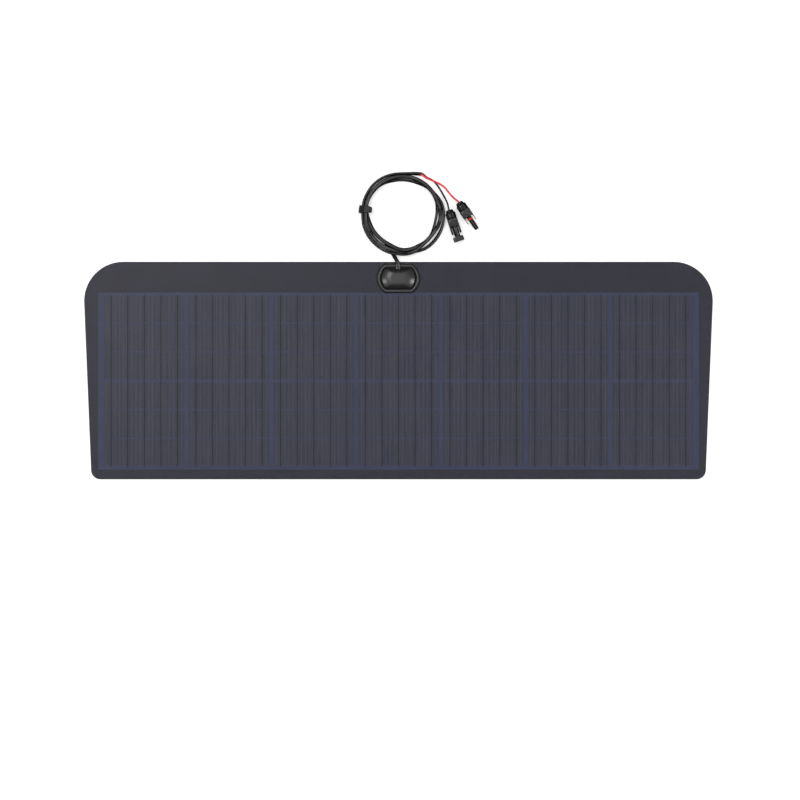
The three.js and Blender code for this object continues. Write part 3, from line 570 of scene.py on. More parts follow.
# How each core runs from the jacket's end to its plug's cable entry.
RED_ROUTE = [
    (0.0532, 0.3692, 0.005), (0.0636, 0.3648, 0.0054), (0.071, 0.3612, 0.0053), (0.0782, 0.358, 0.0043),
    (0.087, 0.3522, 0.003), (0.0945, 0.3437, 0.0022), (0.1012, 0.3353, 0.0039), (0.1078, 0.3286, 0.0076),
]
BLACK_ROUTE = [
    (0.0545, 0.3703, 0.0019), (0.0632, 0.3661, 0.0018), (0.0692, 0.3616, 0.0018), (0.0744, 0.355, 0.0018),
    (0.0798, 0.3472, 0.0022), (0.0851, 0.3378, 0.0037), (0.0899, 0.3285, 0.0062), (0.0937, 0.3193, 0.0087),
]
# The last points of each core, in mm along its plug's axis from the cable entry.
ENTRY_POINTS = (-2, 5, 13.65)
NUT_MIDDLE = 8.5 * MM
CORE_OFFSET = 1.3 * MM
CORE_TUCK = 4 * MM


def coil_centre():
    low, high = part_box("cable_coil")
    return (low + high) / 2


def plug_place(joint_name):
    """A plug's own frame: the origin at its cable entry, X along its axis and Z up."""
    joint = next(each for each in frame["joints"] if each["name"] == joint_name)
    along = Vector(joint["axis"]).normalized()
    up = Vector((0, 0, 1))
    turn = Matrix((along, up.cross(along), up)).transposed().to_4x4()
    return Matrix.Translation(Vector(joint["pos_m"]) - along * NUT_MIDDLE) @ turn


RED_PLACE = plug_place("red_nut_turn")
BLACK_PLACE = plug_place("black_nut_turn")


def eased(keys, at):
    """Smooth values between the rows of keys, whose first column is where each row applies."""
    last = len(keys) - 1
    index = max(0, min(last - 1, next((i for i in range(last) if at < keys[i + 1][0]), last - 1)))
    start, end = keys[index], keys[index + 1]
    before, after = keys[max(index - 1, 0)], keys[min(index + 2, last)]
    span = end[0] - start[0]
    share = (at - start[0]) / span
    values = []
    for column in range(1, len(start)):
        a, b = start[column], end[column]
        slope_a = (b - before[column]) / max(end[0] - before[0], 1e-9) * span
        slope_b = (after[column] - a) / max(after[0] - start[0], 1e-9) * span
        s2, s3 = share * share, share ** 3
        value = (2 * s3 - 3 * s2 + 1) * a + (s3 - 2 * s2 + share) * slope_a
        values.append(value + (3 * s2 - 2 * s3) * b + (s3 - s2) * slope_b)
    return values


def smooth_line(points, step):
    """Points a step apart on a centripetal Catmull-Rom curve through points; each may carry extra values."""
    size = len(points[0])
    before = [2 * a - b for a, b in zip(points[0], points[1])]
    after = [2 * a - b for a, b in zip(points[-1], points[-2])]
    held = [before, *[list(point) for point in points], after]
    line = []
    for p0, p1, p2, p3 in zip(held, held[1:], held[2:], held[3:]):
        knots = [0.0]
        for a, b in ((p0, p1), (p1, p2), (p2, p3)):
            knots.append(knots[-1] + max((Vector(b[:3]) - Vector(a[:3])).length, 1e-9) ** 0.5)
        count = max(1, math.ceil((Vector(p2[:3]) - Vector(p1[:3])).length / step))
        for index in range(count):
            at = knots[1] + (knots[2] - knots[1]) * index / count
            line.append([barry_goldman(p0[k], p1[k], p2[k], p3[k], knots, at) for k in range(size)])
    line.append(list(points[-1]))
    return line


def barry_goldman(p0, p1, p2, p3, knots, at):
    """The value at one knot of a Catmull-Rom curve with uneven knots."""
    def between(a, b, i, j):
        return ((knots[j] - at) * a + (at - knots[i]) * b) / (knots[j] - knots[i])
    a1, a2, a3 = between(p0, p1, 0, 1), between(p1, p2, 1, 2), between(p2, p3, 2, 3)
    return between(between(a1, a2, 0, 2), between(a2, a3, 1, 3), 1, 2)


def flat_twin_section():
    """The jacket's outline: two round lobes with a shallow groove between them on each broad side."""
    radius = CABLE_THICKNESS / 2
    offset = CABLE_WIDTH / 2 - radius
    points = []
    for side in (1, -1):
        for step in range(11):
            angle = math.radians(-90 + 18 * step)
            points.append((side * (offset + radius * math.cos(angle)), side * radius * math.sin(angle)))
        for step in range(1, 4):
            share = step / 4
            groove = 0.34 * MM * math.sin(math.pi * share)
            points.append((side * offset * (1 - 2 * share), side * (radius - groove)))
    return points


def round_section(radius, sides):
    turns = [2 * math.pi * index / sides for index in range(sides)]
    return [(radius * math.cos(turn), radius * math.sin(turn)) for turn in turns]


def make_cord_mesh(name, line, section, material, end_round):
    """A tube with that section swept along a line of [x, y, z, roll], with slightly rounded cut ends."""
    centres = [Vector(point[:3]) for point in line]
    shape = Shape()
    rings, runs = [], []
    travelled = 0.0
    reach = max(abs(x) for x, _ in section)
    for index, centre in enumerate(centres):
        ahead = centres[min(index + 1, len(centres) - 1)] - centres[max(index - 1, 0)]
        travelled += (centre - centres[index - 1]).length if index else 0.0
        outward = Vector((0, 0, 1)).cross(ahead).normalized()
        up = ahead.cross(outward).normalized()
        roll = math.radians(line[index][3])
        across = outward * math.cos(roll) + up * math.sin(roll)
        over = up * math.cos(roll) - outward * math.sin(roll)
        ends = index in (0, len(centres) - 1)
        shrink = 1 - end_round / reach if ends else 1.0
        rings.append([centre + across * x * shrink + over * y * shrink for x, y in section])
        for place in range(len(section)):
            angle = 2 * math.pi * place / len(section)
            runs.append((travelled, reach * math.cos(angle), reach * math.sin(angle)))
    shape.add_loft(rings)
    return shape.piece(name, [material], sharp=50, attributes={"run": runs})


def point_to_segment(point, start, end):
    along = end - start
    share = max(0.0, min(1.0, (point - start).dot(along) / max(along.length_squared, 1e-9)))
    return (point - start - along * share).length


def core_gap(one, other):
    """How far apart two flat sections' middle lines are; the jacket goes half its thickness beyond each."""
    (a, b), (c, d) = one, other
    return min([point_to_segment(p, *other) for p in (a, b)] + [point_to_segment(p, *one) for p in (c, d)])


def section_core(radius, height, roll):
    """The middle line of the flat cable's section, as two points of (radius, height), in mm."""
    middle = Vector((radius, height))
    reach = (CABLE_WIDTH - CABLE_THICKNESS) / 2 / MM
    half = Vector((math.cos(math.radians(roll)), math.sin(math.radians(roll)))) * reach
    return middle - half, middle + half


def resting_height(radius, roll, angle):
    """How high the cable's middle is where it lies on the floor, or on the strap inside the tie."""
    from_tie = abs((angle - TIE_ANGLE + 180) % 360 - 180)
    near, far = TIE_FADE
    floor = FLOOR_GAP + TIE_FLOOR * max(0.0, min(1.0, (far - from_tie) / (far - near)))
    core = section_core(radius, 0.0, roll)
    return floor + CABLE_THICKNESS / 2 / MM + abs(core[1].y)


def height_over(sample, below, height_below):
    """The lowest height at which the cable clears the turn that it lies over."""
    other = section_core(below[0], height_below, below[1])
    spacing = CABLE_THICKNESS / MM + COIL_GAP
    height = height_below + 2 * spacing
    while height > 0 and core_gap(section_core(sample[0], height, sample[1]), other) >= spacing:
        height -= HEIGHT_STEP
    return height + HEIGHT_STEP if height > 0 else 0.0


def windowed(values, reach, combine):
    """Each value combined with its neighbours on both sides, up to that many of them."""
    return [combine(values[max(0, i - reach):i + reach + 1]) for i in range(len(values))]


def mean(values):
    return sum(values) / len(values)


def coil_samples():
    """Samples of the coil as (angle, radius, height, roll), each turn resting on those laid before it."""
    keys = []
    for turn, rows in enumerate(COIL_TURNS):
        keys += [(COIL_START - angle + 360 * turn, radius, roll) for angle, radius, roll in rows]
    turned = [index * COIL_STEP for index in range(int(keys[-1][0] // COIL_STEP))] + [keys[-1][0]]
    samples = [eased(keys, at) for at in turned]
    angles = [COIL_START - at for at in turned]
    rest = [resting_height(*sample, angle) for sample, angle in zip(samples, angles)]
    lap = 360 // COIL_STEP
    heights = rest
    for _ in COIL_TURNS:
        needed = []
        for index, sample in enumerate(samples):
            laid = range(index - lap, -1, -lap)
            needed.append(max([rest[index]] + [height_over(sample, samples[j], heights[j]) for j in laid]))
        heights = windowed(windowed(needed, 2, max), 3, mean)
    return [(angle, radius, height, roll) for angle, (radius, roll), height in zip(angles, samples, heights)]


def cable_line():
    centre = coil_centre()
    points = [[*point, 0.0] for point in CABLE_ROUTE]
    for angle, radius, height, roll in coil_samples():
        turn = math.radians(angle)
        x, y = centre.x + radius * MM * math.cos(turn), centre.y + radius * MM * math.sin(turn)
        points.append([x, y, height * MM, roll])
    return smooth_line(points, CABLE_STEP)


def core_line(route, place, side):
    """A core from inside the jacket's cut end, on its own side of it, along its route and into its plug."""
    end, before = Vector(CABLE_LINE[-1][:3]), Vector(CABLE_LINE[-5][:3])
    ahead = (end - before).normalized()
    outward = Vector((0, 0, 1)).cross(ahead).normalized()
    start = end + outward * side * CORE_OFFSET
    points = [[*(start - ahead * CORE_TUCK), 0.0], [*(start + ahead * CORE_TUCK * 0.3), 0.0]]
    points += [[*point, 0.0] for point in route]
    points += [[*(place @ Vector((along * MM, 0, 0))), 0.0] for along in ENTRY_POINTS]
    return smooth_line(points, CORE_STEP)


JACKET = jacket("cable_jacket", (0.005, 0.005, 0.0055), 0.3, streak=0.005, mottle=0.12, gloss=0.42)
RED_CORE = jacket("red_core", (0.86, 0.028, 0.045), 0.4, streak=0.006, mottle=0.1)
BLACK_CORE = jacket("black_core", (0.008, 0.008, 0.0085), 0.34, streak=0.006)

CABLE_LINE = cable_line()
RED_LINE = core_line(RED_ROUTE, RED_PLACE, -1)
BLACK_LINE = core_line(BLACK_ROUTE, BLACK_PLACE, 1)
CORE_SECTION = round_section(CORE_DIAMETER / 2, 14)
cable = make_cord_mesh("cable", CABLE_LINE, flat_twin_section(), JACKET, 0.4 * MM)
red_core = make_cord_mesh("red_core", RED_LINE, CORE_SECTION, RED_CORE, 0.1 * MM)
black_core = make_cord_mesh("black_core", BLACK_LINE, CORE_SECTION, BLACK_CORE, 0.1 * MM)
stand_in(cable, "cable_jacket", "cable_coil", "cable_lead")
stand_in(red_core, "red_core", "lead_red")
stand_in(black_core, "black_core", "lead_black")


# ---- Laminate ----

COLUMNS = 7
COLUMN_PITCH = 162.4
ROW_TOPS = (144.76, -20.6)
STRIPS = 3
STRIP_HALF = 26.46
STRIP_PITCH = 55.12
STRIP_Z = (1.55, 1.7)
FINGERS = 35
FINGER_PITCH = 1.512
FINGER_HALF = 0.06
FINGER_SETBACK = 1.2
FINGER_HEIGHT = 0.02
# The streaks run beside the ribbons, at quarters of their pitch but not under them.
STREAK_PITCH = RIBBON_PITCH / 4
STREAK_STEPS = [step for step in range(-9, 10) if step % 4]
STREAK_HALF = 0.17
STREAK_SETBACK = 0.8
STREAK_HEIGHT = 0.03
RIBBONS = 5
RIBBON_HALF = 0.75
RIBBON_Z = (1.70, 1.82)
RIBBON_ENDS = (146.0, -185.0)
FILM_Z = (2.25, 2.5)
FILM_RIDGE = 0.06
FILM_DIP = 0.05
# The film stops a little short of the sheet's edge all round.
FILM_SETBACK = 1.6
FILM_TOP_HALF = 605.7 - FILM_SETBACK
FILM_BOTTOM_HALF = 588.5 - FILM_SETBACK
FILM_HALF_DEPTH = 208.5 - FILM_SETBACK
TOP_CORNER = 75 - FILM_SETBACK
BOTTOM_CORNER = 18 - FILM_SETBACK


def column_x(column):
    return (column - (COLUMNS - 1) / 2) * COLUMN_PITCH


def ribbon_places():
    return [column_x(column) + (index - (RIBBONS - 1) / 2) * RIBBON_PITCH
            for column in range(COLUMNS) for index in range(RIBBONS)]


def strip_middles(row):
    return [ROW_TOPS[row] - STRIP_HALF - STRIP_PITCH * strip for strip in range(STRIPS)]


def make_wafer(name, column, row):
    """One wafer, cut into strips, with its printed lines."""
    shape = Shape()
    marks = []
    seed = column * 2 + row
    across = column_x(column)
    bottom, top = STRIP_Z
    for strip, middle in enumerate(strip_middles(row)):
        before = len(shape.points)
        shape.add_plate(across, middle, CELL_HALF, STRIP_HALF, bottom, top, 0)
        for finger in range(FINGERS):
            y = middle + (finger - (FINGERS - 1) / 2) * FINGER_PITCH
            shape.add_plate(across, y, CELL_HALF - FINGER_SETBACK, FINGER_HALF, top, top + FINGER_HEIGHT, 1)
        for step in STREAK_STEPS:
            x = across + step * STREAK_PITCH
            shape.add_plate(x, middle, STREAK_HALF, STRIP_HALF - STREAK_SETBACK, top, top + STREAK_HEIGHT, 1)
        wafer_y = (1 - strip) * 2 * STRIP_HALF
        for point in shape.points[before:]:
            marks.append((point.x / MM - across, point.y / MM - middle + wafer_y, seed))
    return shape.piece(name, [CELL, SILVER], attributes={"wafer": marks})


def ribbon_stations():
    """How a ribbon runs along Y, as (y, lift): on top of each strip, and bent down between strips."""
    stations = [(RIBBON_ENDS[0], -0.1)]
    for row in range(2):
        for middle in strip_middles(row):
            edge = STRIP_HALF - 0.3
            stations += [(middle + edge, 0.0), (middle - edge, 0.0)]
            stations += [(middle - STRIP_HALF - 1.1, -0.1)]
    stations[-1] = (RIBBON_ENDS[1], -0.1)
    return stations


def make_ribbons(name, column):
    shape = Shape()
    for x in ribbon_places()[column * RIBBONS:(column + 1) * RIBBONS]:
        rings = []
        for y, lift in ribbon_stations():
            low, high = RIBBON_Z[0] + lift, RIBBON_Z[1] + lift
            section = ((-RIBBON_HALF, low), (-RIBBON_HALF, high - 0.04), (-RIBBON_HALF + 0.12, high),
                       (RIBBON_HALF - 0.12, high), (RIBBON_HALF, high - 0.04), (RIBBON_HALF, low))
            rings.append([((x + dx) * MM, y * MM, z * MM) for dx, z in section])
        shape.add_loft(rings)
    return shape.piece(name, [RIBBON])


def film_outline():
    """The film's outline, anticlockwise: a trapezoid with large upper and small lower corners."""
    slant = math.atan2(FILM_TOP_HALF - FILM_BOTTOM_HALF, 2 * FILM_HALF_DEPTH)
    right = []
    for sign, half, radius in ((-1, FILM_BOTTOM_HALF, BOTTOM_CORNER), (1, FILM_TOP_HALF, TOP_CORNER)):
        turned = math.pi / 2 + sign * slant
        back = radius * math.tan(turned / 2)
        centre = (half - back, sign * (FILM_HALF_DEPTH - radius))
        start, end = (-math.pi / 2, -slant) if sign < 0 else (-slant, math.pi / 2)
        for step in range(15):
            angle = start + (end - start) * step / 14
            right.append((centre[0] + radius * math.cos(angle), centre[1] + radius * math.sin(angle)))
    return right + [(-x, y) for x, y in reversed(right)]


def film_lines():
    """Where the film's surface changes, across and along, so that its mesh needs lines only there."""
    xs, ys = [], []
    for column in range(COLUMNS):
        for side in (-1, 1):
            edge = column_x(column) + side * CELL_HALF
            xs += [edge - side * 0.6, edge + side * 0.5]
    for x in ribbon_places():
        xs += [x - 1.5, x - 0.8, x + 0.8, x + 1.5]
    for row in range(2):
        for middle in strip_middles(row):
            for side in (-1, 1):
                edge = middle + side * STRIP_HALF
                ys += [edge - side * 0.6, edge + side * 0.35]
    reach_x, reach_y = FILM_TOP_HALF + 4, FILM_HALF_DEPTH + 4
    return sorted(xs + [-reach_x, reach_x]), sorted(ys + [-reach_y, 180, 160, -198, reach_y])


def film_height(x, y):
    column = min(range(COLUMNS), key=lambda each: abs(x - column_x(each)))
    over_column = abs(x - column_x(column)) < CELL_HALF
    over_strip = any(abs(y - middle) < STRIP_HALF for row in range(2) for middle in strip_middles(row))
    nearest = min(abs(x - place) for place in ribbon_places())
    if nearest < 1 and RIBBON_ENDS[1] < y < RIBBON_ENDS[0]:
        return FILM_Z[1] + FILM_RIDGE
    return FILM_Z[1] if over_column and over_strip else FILM_Z[1] - FILM_DIP


def from_lowest(face):
    """A face's points in order round it from the lowest number, so that each run gives the same mesh."""
    start = face.index(min(face))
    return tuple(face[start:] + face[:start])


def make_film():
    """The clear front film, draped over the ribbons and sunk a little between the cells."""
    xs, ys = film_lines()
    points = [(x * MM, y * MM, film_height(x, y) * MM) for y in ys for x in xs]
    width = len(xs)
    work = bmesh.new()
    made = [work.verts.new(point) for point in points]
    for j in range(len(ys) - 1):
        for i in range(width - 1):
            here, over = j * width + i, (j + 1) * width + i
            work.faces.new([made[index] for index in (here, here + 1, over + 1, over)])
    outline = film_outline()
    for (ax, ay), (bx, by) in zip(outline, outline[1:] + outline[:1]):
        outward = Vector((by - ay, ax - bx, 0)).normalized()
        bmesh.ops.bisect_plane(work, geom=work.verts[:] + work.edges[:] + work.faces[:],
                               plane_co=(ax * MM, ay * MM, 0), plane_no=outward, clear_outer=True)
    border = [edge for edge in work.edges if edge.is_boundary]
    down = bmesh.ops.extrude_edge_only(work, edges=border)["geom"]
    low_edges = [item for item in down if isinstance(item, bmesh.types.BMEdge) and item.is_boundary]
    for vert in {vert for edge in low_edges for vert in edge.verts}:
        vert.co.z = FILM_Z[0] * MM
    bmesh.ops.contextual_create(work, geom=low_edges)
    mesh = bpy.data.meshes.new("film_surface")
    work.to_mesh(mesh)
    work.free()
    points = [vertex.co.copy() for vertex in mesh.vertices]
    faces = sorted(from_lowest(list(polygon.vertices)) for polygon in mesh.polygons)
    bpy.data.meshes.remove(mesh)
    return make_piece("front_film_surface", points, faces, [FILM], sharp=60)


CELL = wafer_glass()
SILVER = printed_silver()
RIBBON = coated_ribbon()
FILM = clear_layer("front_film", 0.16, (0.030, 0.030, 0.042), (0.046, 0.046, 0.06), 0.42, 0.004, 1300)
CLEAR = clear_layer("front_encapsulant", 0.02, (0.05, 0.05, 0.06), (0.08, 0.08, 0.09), 0.5, 0.003, 600)
BACKING = dark_backing("backing", (0.007, 0.007, 0.008), (0.014, 0.014, 0.016), 0.55)
MARGIN = dark_backing("rear_encapsulant", MARGIN_LOW, MARGIN_HIGH, 0.42)
SCRIM = woven_sheet("glass_scrim", BORDER_LOW, BORDER_HIGH, 1.1, 0.004)
BLUE_RIBBON = woven_sheet("blue_cross_ribbon", BORDER_LOW, BORDER_HIGH, 0.7, 0.003)

for row, level in enumerate(("upper", "lower")):
    for column in range(COLUMNS):
        wafer = make_wafer(f"wafer_{level}_{column + 1}", column, row)
        stand_in(wafer, "cell", f"cells_{level}_{column + 1}")
for column in range(COLUMNS):
    make_ribbons(f"ribbons_column_{column + 1}", column)
stand_in(make_film(), "front_film", "front_film")
dress(BACKING, "back_sheet")
dress(MARGIN, "rear_encapsulant")
dress(SCRIM, "reinforcing_scrim")
dress(CLEAR, "front_encapsulant")
dress(BLUE_RIBBON, *[name for name in frame["nodes"] if name.startswith("end_ribbon")])
dress(bordered_ribbon(), "output_ribbon_positive", "output_ribbon_negative")


# ---- Junction box ----

BOX_Y = 176.5
BOX_STRAIGHT = 23
BOX_END = 17
BOX_HALF = 26.5
# Ends between an ellipse, at 1, and a diamond, at 2.
BOX_CORNER_POWER = 1.22
END_STEPS = 24
BOX_FLOOR = 5.4
BOX_TOP = 10.6
BOX_RIM = 4.8
LID_INSET = 6.6
LID_BOTTOM = 6.9
LID_TOP = 15.2
# The flat top's straight half-length, end and half-width.
LID_FLAT = (10.8, 5.0, 9.6)
# The steep shoulder inside the skirt, as (share of the way to the flat top, height).
LID_SHOULDER = ((0.012, 9.6), (0.04, 10.2), (0.08, 10.8), (0.125, 11.2), (0.17, 11.5))
SLOPE_STEPS = 14
GLAND_X = -0.8
GLAND_HALF = 4.9
NOTCH_HALF = GLAND_HALF + 0.4
# The gland's passage: how far the lid is held back to in Y, and how high the tray's wall may stand there.
LID_NOTCH_Y = 192.6
TRAY_NOTCH_TOP = 5.6


def box_ring(inset, z, notch_y=None, straight=BOX_STRAIGHT, end=BOX_END, half=BOX_HALF):
    """The box's outline at one height, in metres, held back to notch_y, if given, at the gland's passage."""
    left, right = (GLAND_X + side * NOTCH_HALF for side in (-1, 1))
    steps = [BOX_STRAIGHT, 17, 11, 7, right + 0.02, right, 2, GLAND_X, -4, left, left - 0.02, -9, -13, -18]
    ring = []
    for side in (1, -1):
        for x in [*steps, -BOX_STRAIGHT]:
            place, y = side * x * straight / BOX_STRAIGHT, BOX_Y + side * (half - inset)
            if side > 0 and notch_y and left - 0.01 <= x <= right + 0.01:
                place, y = x, min(y, notch_y)
            ring.append((place * MM, y * MM, z * MM))
        for step in range(1, END_STEPS):
            angle = math.pi / 2 + math.pi * step / END_STEPS
            reach = (end - inset) * abs(math.cos(angle)) ** BOX_CORNER_POWER
            rise = (half - inset) * math.copysign(abs(math.sin(angle)) ** BOX_CORNER_POWER, math.sin(angle))
            ring.append((-side * (straight + reach) * MM, (BOX_Y + side * rise) * MM, z * MM))
    return ring


def make_box_base():
    """The tray: a flat rim with rounded edges round a deep well, open for the gland."""
    shape = Shape()
    levels = [(0.6, 3.6), (0.0, 4.1), (0.0, 9.7), (0.12, 10.2), (0.45, 10.5), (0.95, BOX_TOP),
              (2.4, BOX_TOP + 0.02), (3.9, BOX_TOP), (4.4, 10.45), (4.7, 10.1), (BOX_RIM, 9.6),
              (BOX_RIM, BOX_FLOOR)]
    rings = []
    for inset, z in levels:
        ring = box_ring(inset, z)
        for index, (x, y, height) in enumerate(ring):
            near = abs(x / MM - GLAND_X) <= NOTCH_HALF + 0.01 and y / MM > BOX_Y
            ring[index] = (x, y, min(height, TRAY_NOTCH_TOP * MM) if near else height)
        rings.append(ring)
    shape.add_loft(rings)
    return shape.piece("junction_box_tray", [BOX_PLASTIC], sharp=50)


def make_shadow_ring():
    """Painted shadow: a black rounded fillet of uneven width round the foot of the tray, darkening the sheet
    where the tray's shadow falls.
    """
    shape = Shape()
    rings = []
    section = ((1.5, 2.6), (-1.5, 2.56), (-1.7, 2.75), (-1.3, 3.2), (-0.6, 3.9), (0.1, 4.5), (1.5, 4.4))
    for inset, z in section:
        ring = box_ring(inset, z)
        for index, (x, y, height) in enumerate(ring):
            wave = 1 + 0.004 * math.sin(index * 0.9) + 0.003 * math.sin(index * 2.3) if inset < 0 else 1.0
            ring[index] = (x * wave, BOX_Y * MM + (y - BOX_Y * MM) * wave, height)
        rings.append(ring)
    shape.add_loft(rings, closed=True)
    return shape.piece("painted_shadow_ring", [RUBBER], sharp=60)


def lid_ring(share, z):
    """Between the lid's edge at 0 and its flat top at 1."""
    edge = (BOX_STRAIGHT, BOX_END - LID_INSET, BOX_HALF - LID_INSET)
    sizes = [start + (flat - start) * share for start, flat in zip(edge, LID_FLAT)]
    return box_ring(0.0, z, LID_NOTCH_Y, *sizes)


def make_box_lid():
    """The lid: a thin skirt, a rounded edge, long slopes and a flat top."""
    shape = Shape()
    inner = [(LID_INSET + 2.4, 11.3), (LID_INSET + 2.2, 9.0), (LID_INSET + 2.2, LID_BOTTOM + 0.2),
             (LID_INSET + 2.0, LID_BOTTOM), (LID_INSET + 0.3, LID_BOTTOM), (LID_INSET, LID_BOTTOM + 0.3)]
    rings = [box_ring(inset, z, LID_NOTCH_Y) for inset, z in inner]
    rings += [lid_ring(0.0, z) for z in (8.4, 9.3)]
    rings += [lid_ring(share, z) for share, z in LID_SHOULDER]
    inward, low = LID_SHOULDER[-1]
    for step in range(1, SLOPE_STEPS + 1):
        share = step / SLOPE_STEPS
        rise = 0.3 * share + 0.7 * math.sin(share * math.pi / 2)
        rings.append(lid_ring(inward + (0.97 - inward) * share, low + (LID_TOP - 0.2 - low) * rise))
    rings += [lid_ring(1.0, LID_TOP - 0.1), lid_ring(1.04, LID_TOP - 0.03), lid_ring(1.09, LID_TOP)]
    shape.add_loft(rings)
    return shape.piece("junction_box_lid", [BOX_PLASTIC], sharp=40)


def make_gland():
    """The strain relief over the cable: a block with two rounded ridges, one over each core."""
    profile = [(-1.0, 0.0), (-1.0, 0.58), (-0.97, 0.72), (-0.88, 0.86), (-0.72, 0.96), (-0.54, 1.0),
               (-0.36, 0.96), (-0.22, 0.86), (-0.1, 0.78), (0.0, 0.76)]
    profile += [(-x, z) for x, z in reversed(profile[:-1])]
    low, high = (z / MM for z in (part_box("cable_gland")[0].z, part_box("cable_gland")[1].z))
    stations = [(193.0, 0.93, 0.8), (193.3, 0.97, 0.92), (194.2, 1.0, 1.0), (198.4, 1.0, 1.0),
                (198.8, 0.97, 0.96), (199.2, 0.97, 0.96), (199.6, 1.0, 1.0), (202.6, 1.0, 1.0),
                (203.9, 0.96, 0.94), (204.4, 0.9, 0.84)]
    shape = Shape()
    shape.add_loft([[((GLAND_X + GLAND_HALF * wide * x) * MM, y * MM, (low + (high - low) * tall * z) * MM)
                     for x, z in profile] for y, wide, tall in stations])
    return shape.piece("cable_strain_relief", [RELIEF_PLASTIC], sharp=40)


BOX_PLASTIC = moulded_plastic("box_plastic", (0.011, 0.011, 0.0105), 0.27, 0.004, 2600, 0.42)
RELIEF_PLASTIC = moulded_plastic("strain_relief", (0.04, 0.04, 0.039), 0.25, 0.004, 2600, 0.6)
RUBBER = soft_rubber("rubber", (0.008, 0.008, 0.0085))
METAL = tinned_metal("contact_metal", (0.75, 0.74, 0.7))
DIODE = moulded_plastic("diode", (0.02, 0.02, 0.02), 0.35, 0.02, 4000)

stand_in(make_box_base(), "box_plastic", "box_base")
stand_in(make_box_lid(), "box_plastic", "box_lid")
# A black ring round the tray's foot, as painted shadow of the tray on the sheet.
make_shadow_ring()
relief = stand_in(make_gland(), "box_plastic", "cable_gland")
dress(RUBBER, "box_adhesive_pad", "box_gasket")
dress(METAL, "box_terminal_positive", "box_terminal_negative")
dress(DIODE, "box_bypass_diode")
dress(core_end("red_core_end", (0.7, 0.022, 0.034)), "box_core_red")
dress(core_end("black_core_end", (0.02, 0.02, 0.021)), "box_core_black")


# ---- Tie ----

TIE_HALF_LENGTH = 7.0
TIE_WALL = 1.1
TAB_HALF = TIE_HALF_LENGTH - 1.0
TAB_WALL = 0.9
TAB_ROUNDING = 3.2
STITCHES = 7
STITCH_PITCH = 1.25
FIRST_STITCH = 64.6
# The strap's loop round the strands, as (distance from the coil's centre, height) in mm, on its inner face.
TIE_LOOP = [
    (73.4, 1.35), (81.4, 1.35), (83.2, 2.6), (83.7, 5.2), (83.2, 8.4), (81.2, 11.4),
    (78.4, 14.0), (76.0, 15.8), (74.4, 16.5), (71.0, 16.6), (67.6, 16.4), (66.3, 15.0),
    (66.1, 11.0), (66.1, 6.0), (66.3, 2.6), (67.6, 1.35),
]
TIE_TAB = [(59.8, 13.7), (61.2, 14.7), (64.0, 16.7), (66.5, 17.75), (69.0, 17.85), (72.5, 17.8), (74.2, 17.5)]


def on_tie(distance, along, height):
    """A point at the tie, from its distance out from the coil's centre and along the cable, in mm."""
    angle = math.radians(TIE_ANGLE)
    outward = Vector((math.cos(angle), math.sin(angle), 0))
    ahead = Vector((-math.sin(angle), math.cos(angle), 0))
    middle = coil_centre()
    place = Vector((middle.x, middle.y, 0)) + outward * distance * MM + ahead * along * MM
    return place + Vector((0, 0, height * MM))


def strap_ring(at, normal, half, wall):
    """A strap's section: flat, with softly rounded long edges."""
    ring = []
    for along, lift in ((-1, 0.15), (-0.96, 0.0), (0.96, 0.0), (1, 0.15), (1, 0.85), (0.96, 1.0), (0.5, 1.04),
                        (0, 1.06), (-0.5, 1.04), (-0.96, 1.0), (-1, 0.85)):
        distance, height = at[0] + normal[0] * wall * lift, at[1] + normal[1] * wall * lift
        ring.append(on_tie(distance, along * half, height))
    return ring


def heading(before, after):
    return Vector((after[0] - before[0], after[1] - before[1])).normalized()


def make_tie():
    """A hook-and-loop strap, tight round the coil's strands, with a stitched tab lapped over its top."""
    shape = Shape()
    rings = []
    loop = smooth_line([[*point, 0.0] for point in TIE_LOOP + TIE_LOOP[:1]], 0.9)[:-1]
    for index, point in enumerate(loop):
        run = heading(loop[index - 1], loop[(index + 1) % len(loop)])
        rings.append(strap_ring(point, (run.y, -run.x), TIE_HALF_LENGTH, TIE_WALL))
    shape.add_loft(rings, 0, closed=True)
    rings = []
    tab = smooth_line([[*point, 0.0] for point in TIE_TAB], 0.8)
    for index, point in enumerate(tab):
        run = heading(tab[max(index - 1, 0)], tab[min(index + 1, len(tab) - 1)])
        from_end = min(point[0] - tab[0][0], TAB_ROUNDING)
        half = TAB_HALF * (0.55 + 0.45 * math.sqrt(max(0.0, 1 - (1 - from_end / TAB_ROUNDING) ** 2)))
        rings.append(strap_ring(point, (-run.y, run.x), half, TAB_WALL))
    shape.add_loft(rings, 1)
    for edge in (-1, 1):
        for stitch in range(STITCHES):
            distance = FIRST_STITCH + stitch * STITCH_PITCH
            middle = on_tie(distance, edge * 4.9, 0)
            height = next(p[1] for p in tab if p[0] >= distance) + 0.88
            low, high = Vector((-0.4, -0.14, height)), Vector((0.4, 0.14, height + 0.22))
            shape.add_block(middle + low * MM, middle + high * MM, 1)
    return shape.piece("coil_tie", [hook_and_loop(), woven_tape()], sharp=50)


coil_tie = stand_in(make_tie(), "tie", "cable_tie")


# ---- Plug connectors ----

NUT_LOBES = 12
NUT_ROOT = 0.925
PLUG_DEPTH = 7.2
# Where the windows through each body begin and end.
PLUG_WINDOW = (18.65, 21.35)
THREAD_TURNS = 6
THREAD_PITCH = 1.5
THREAD_ROOT = 6.6
THREAD_CREST = 7.05


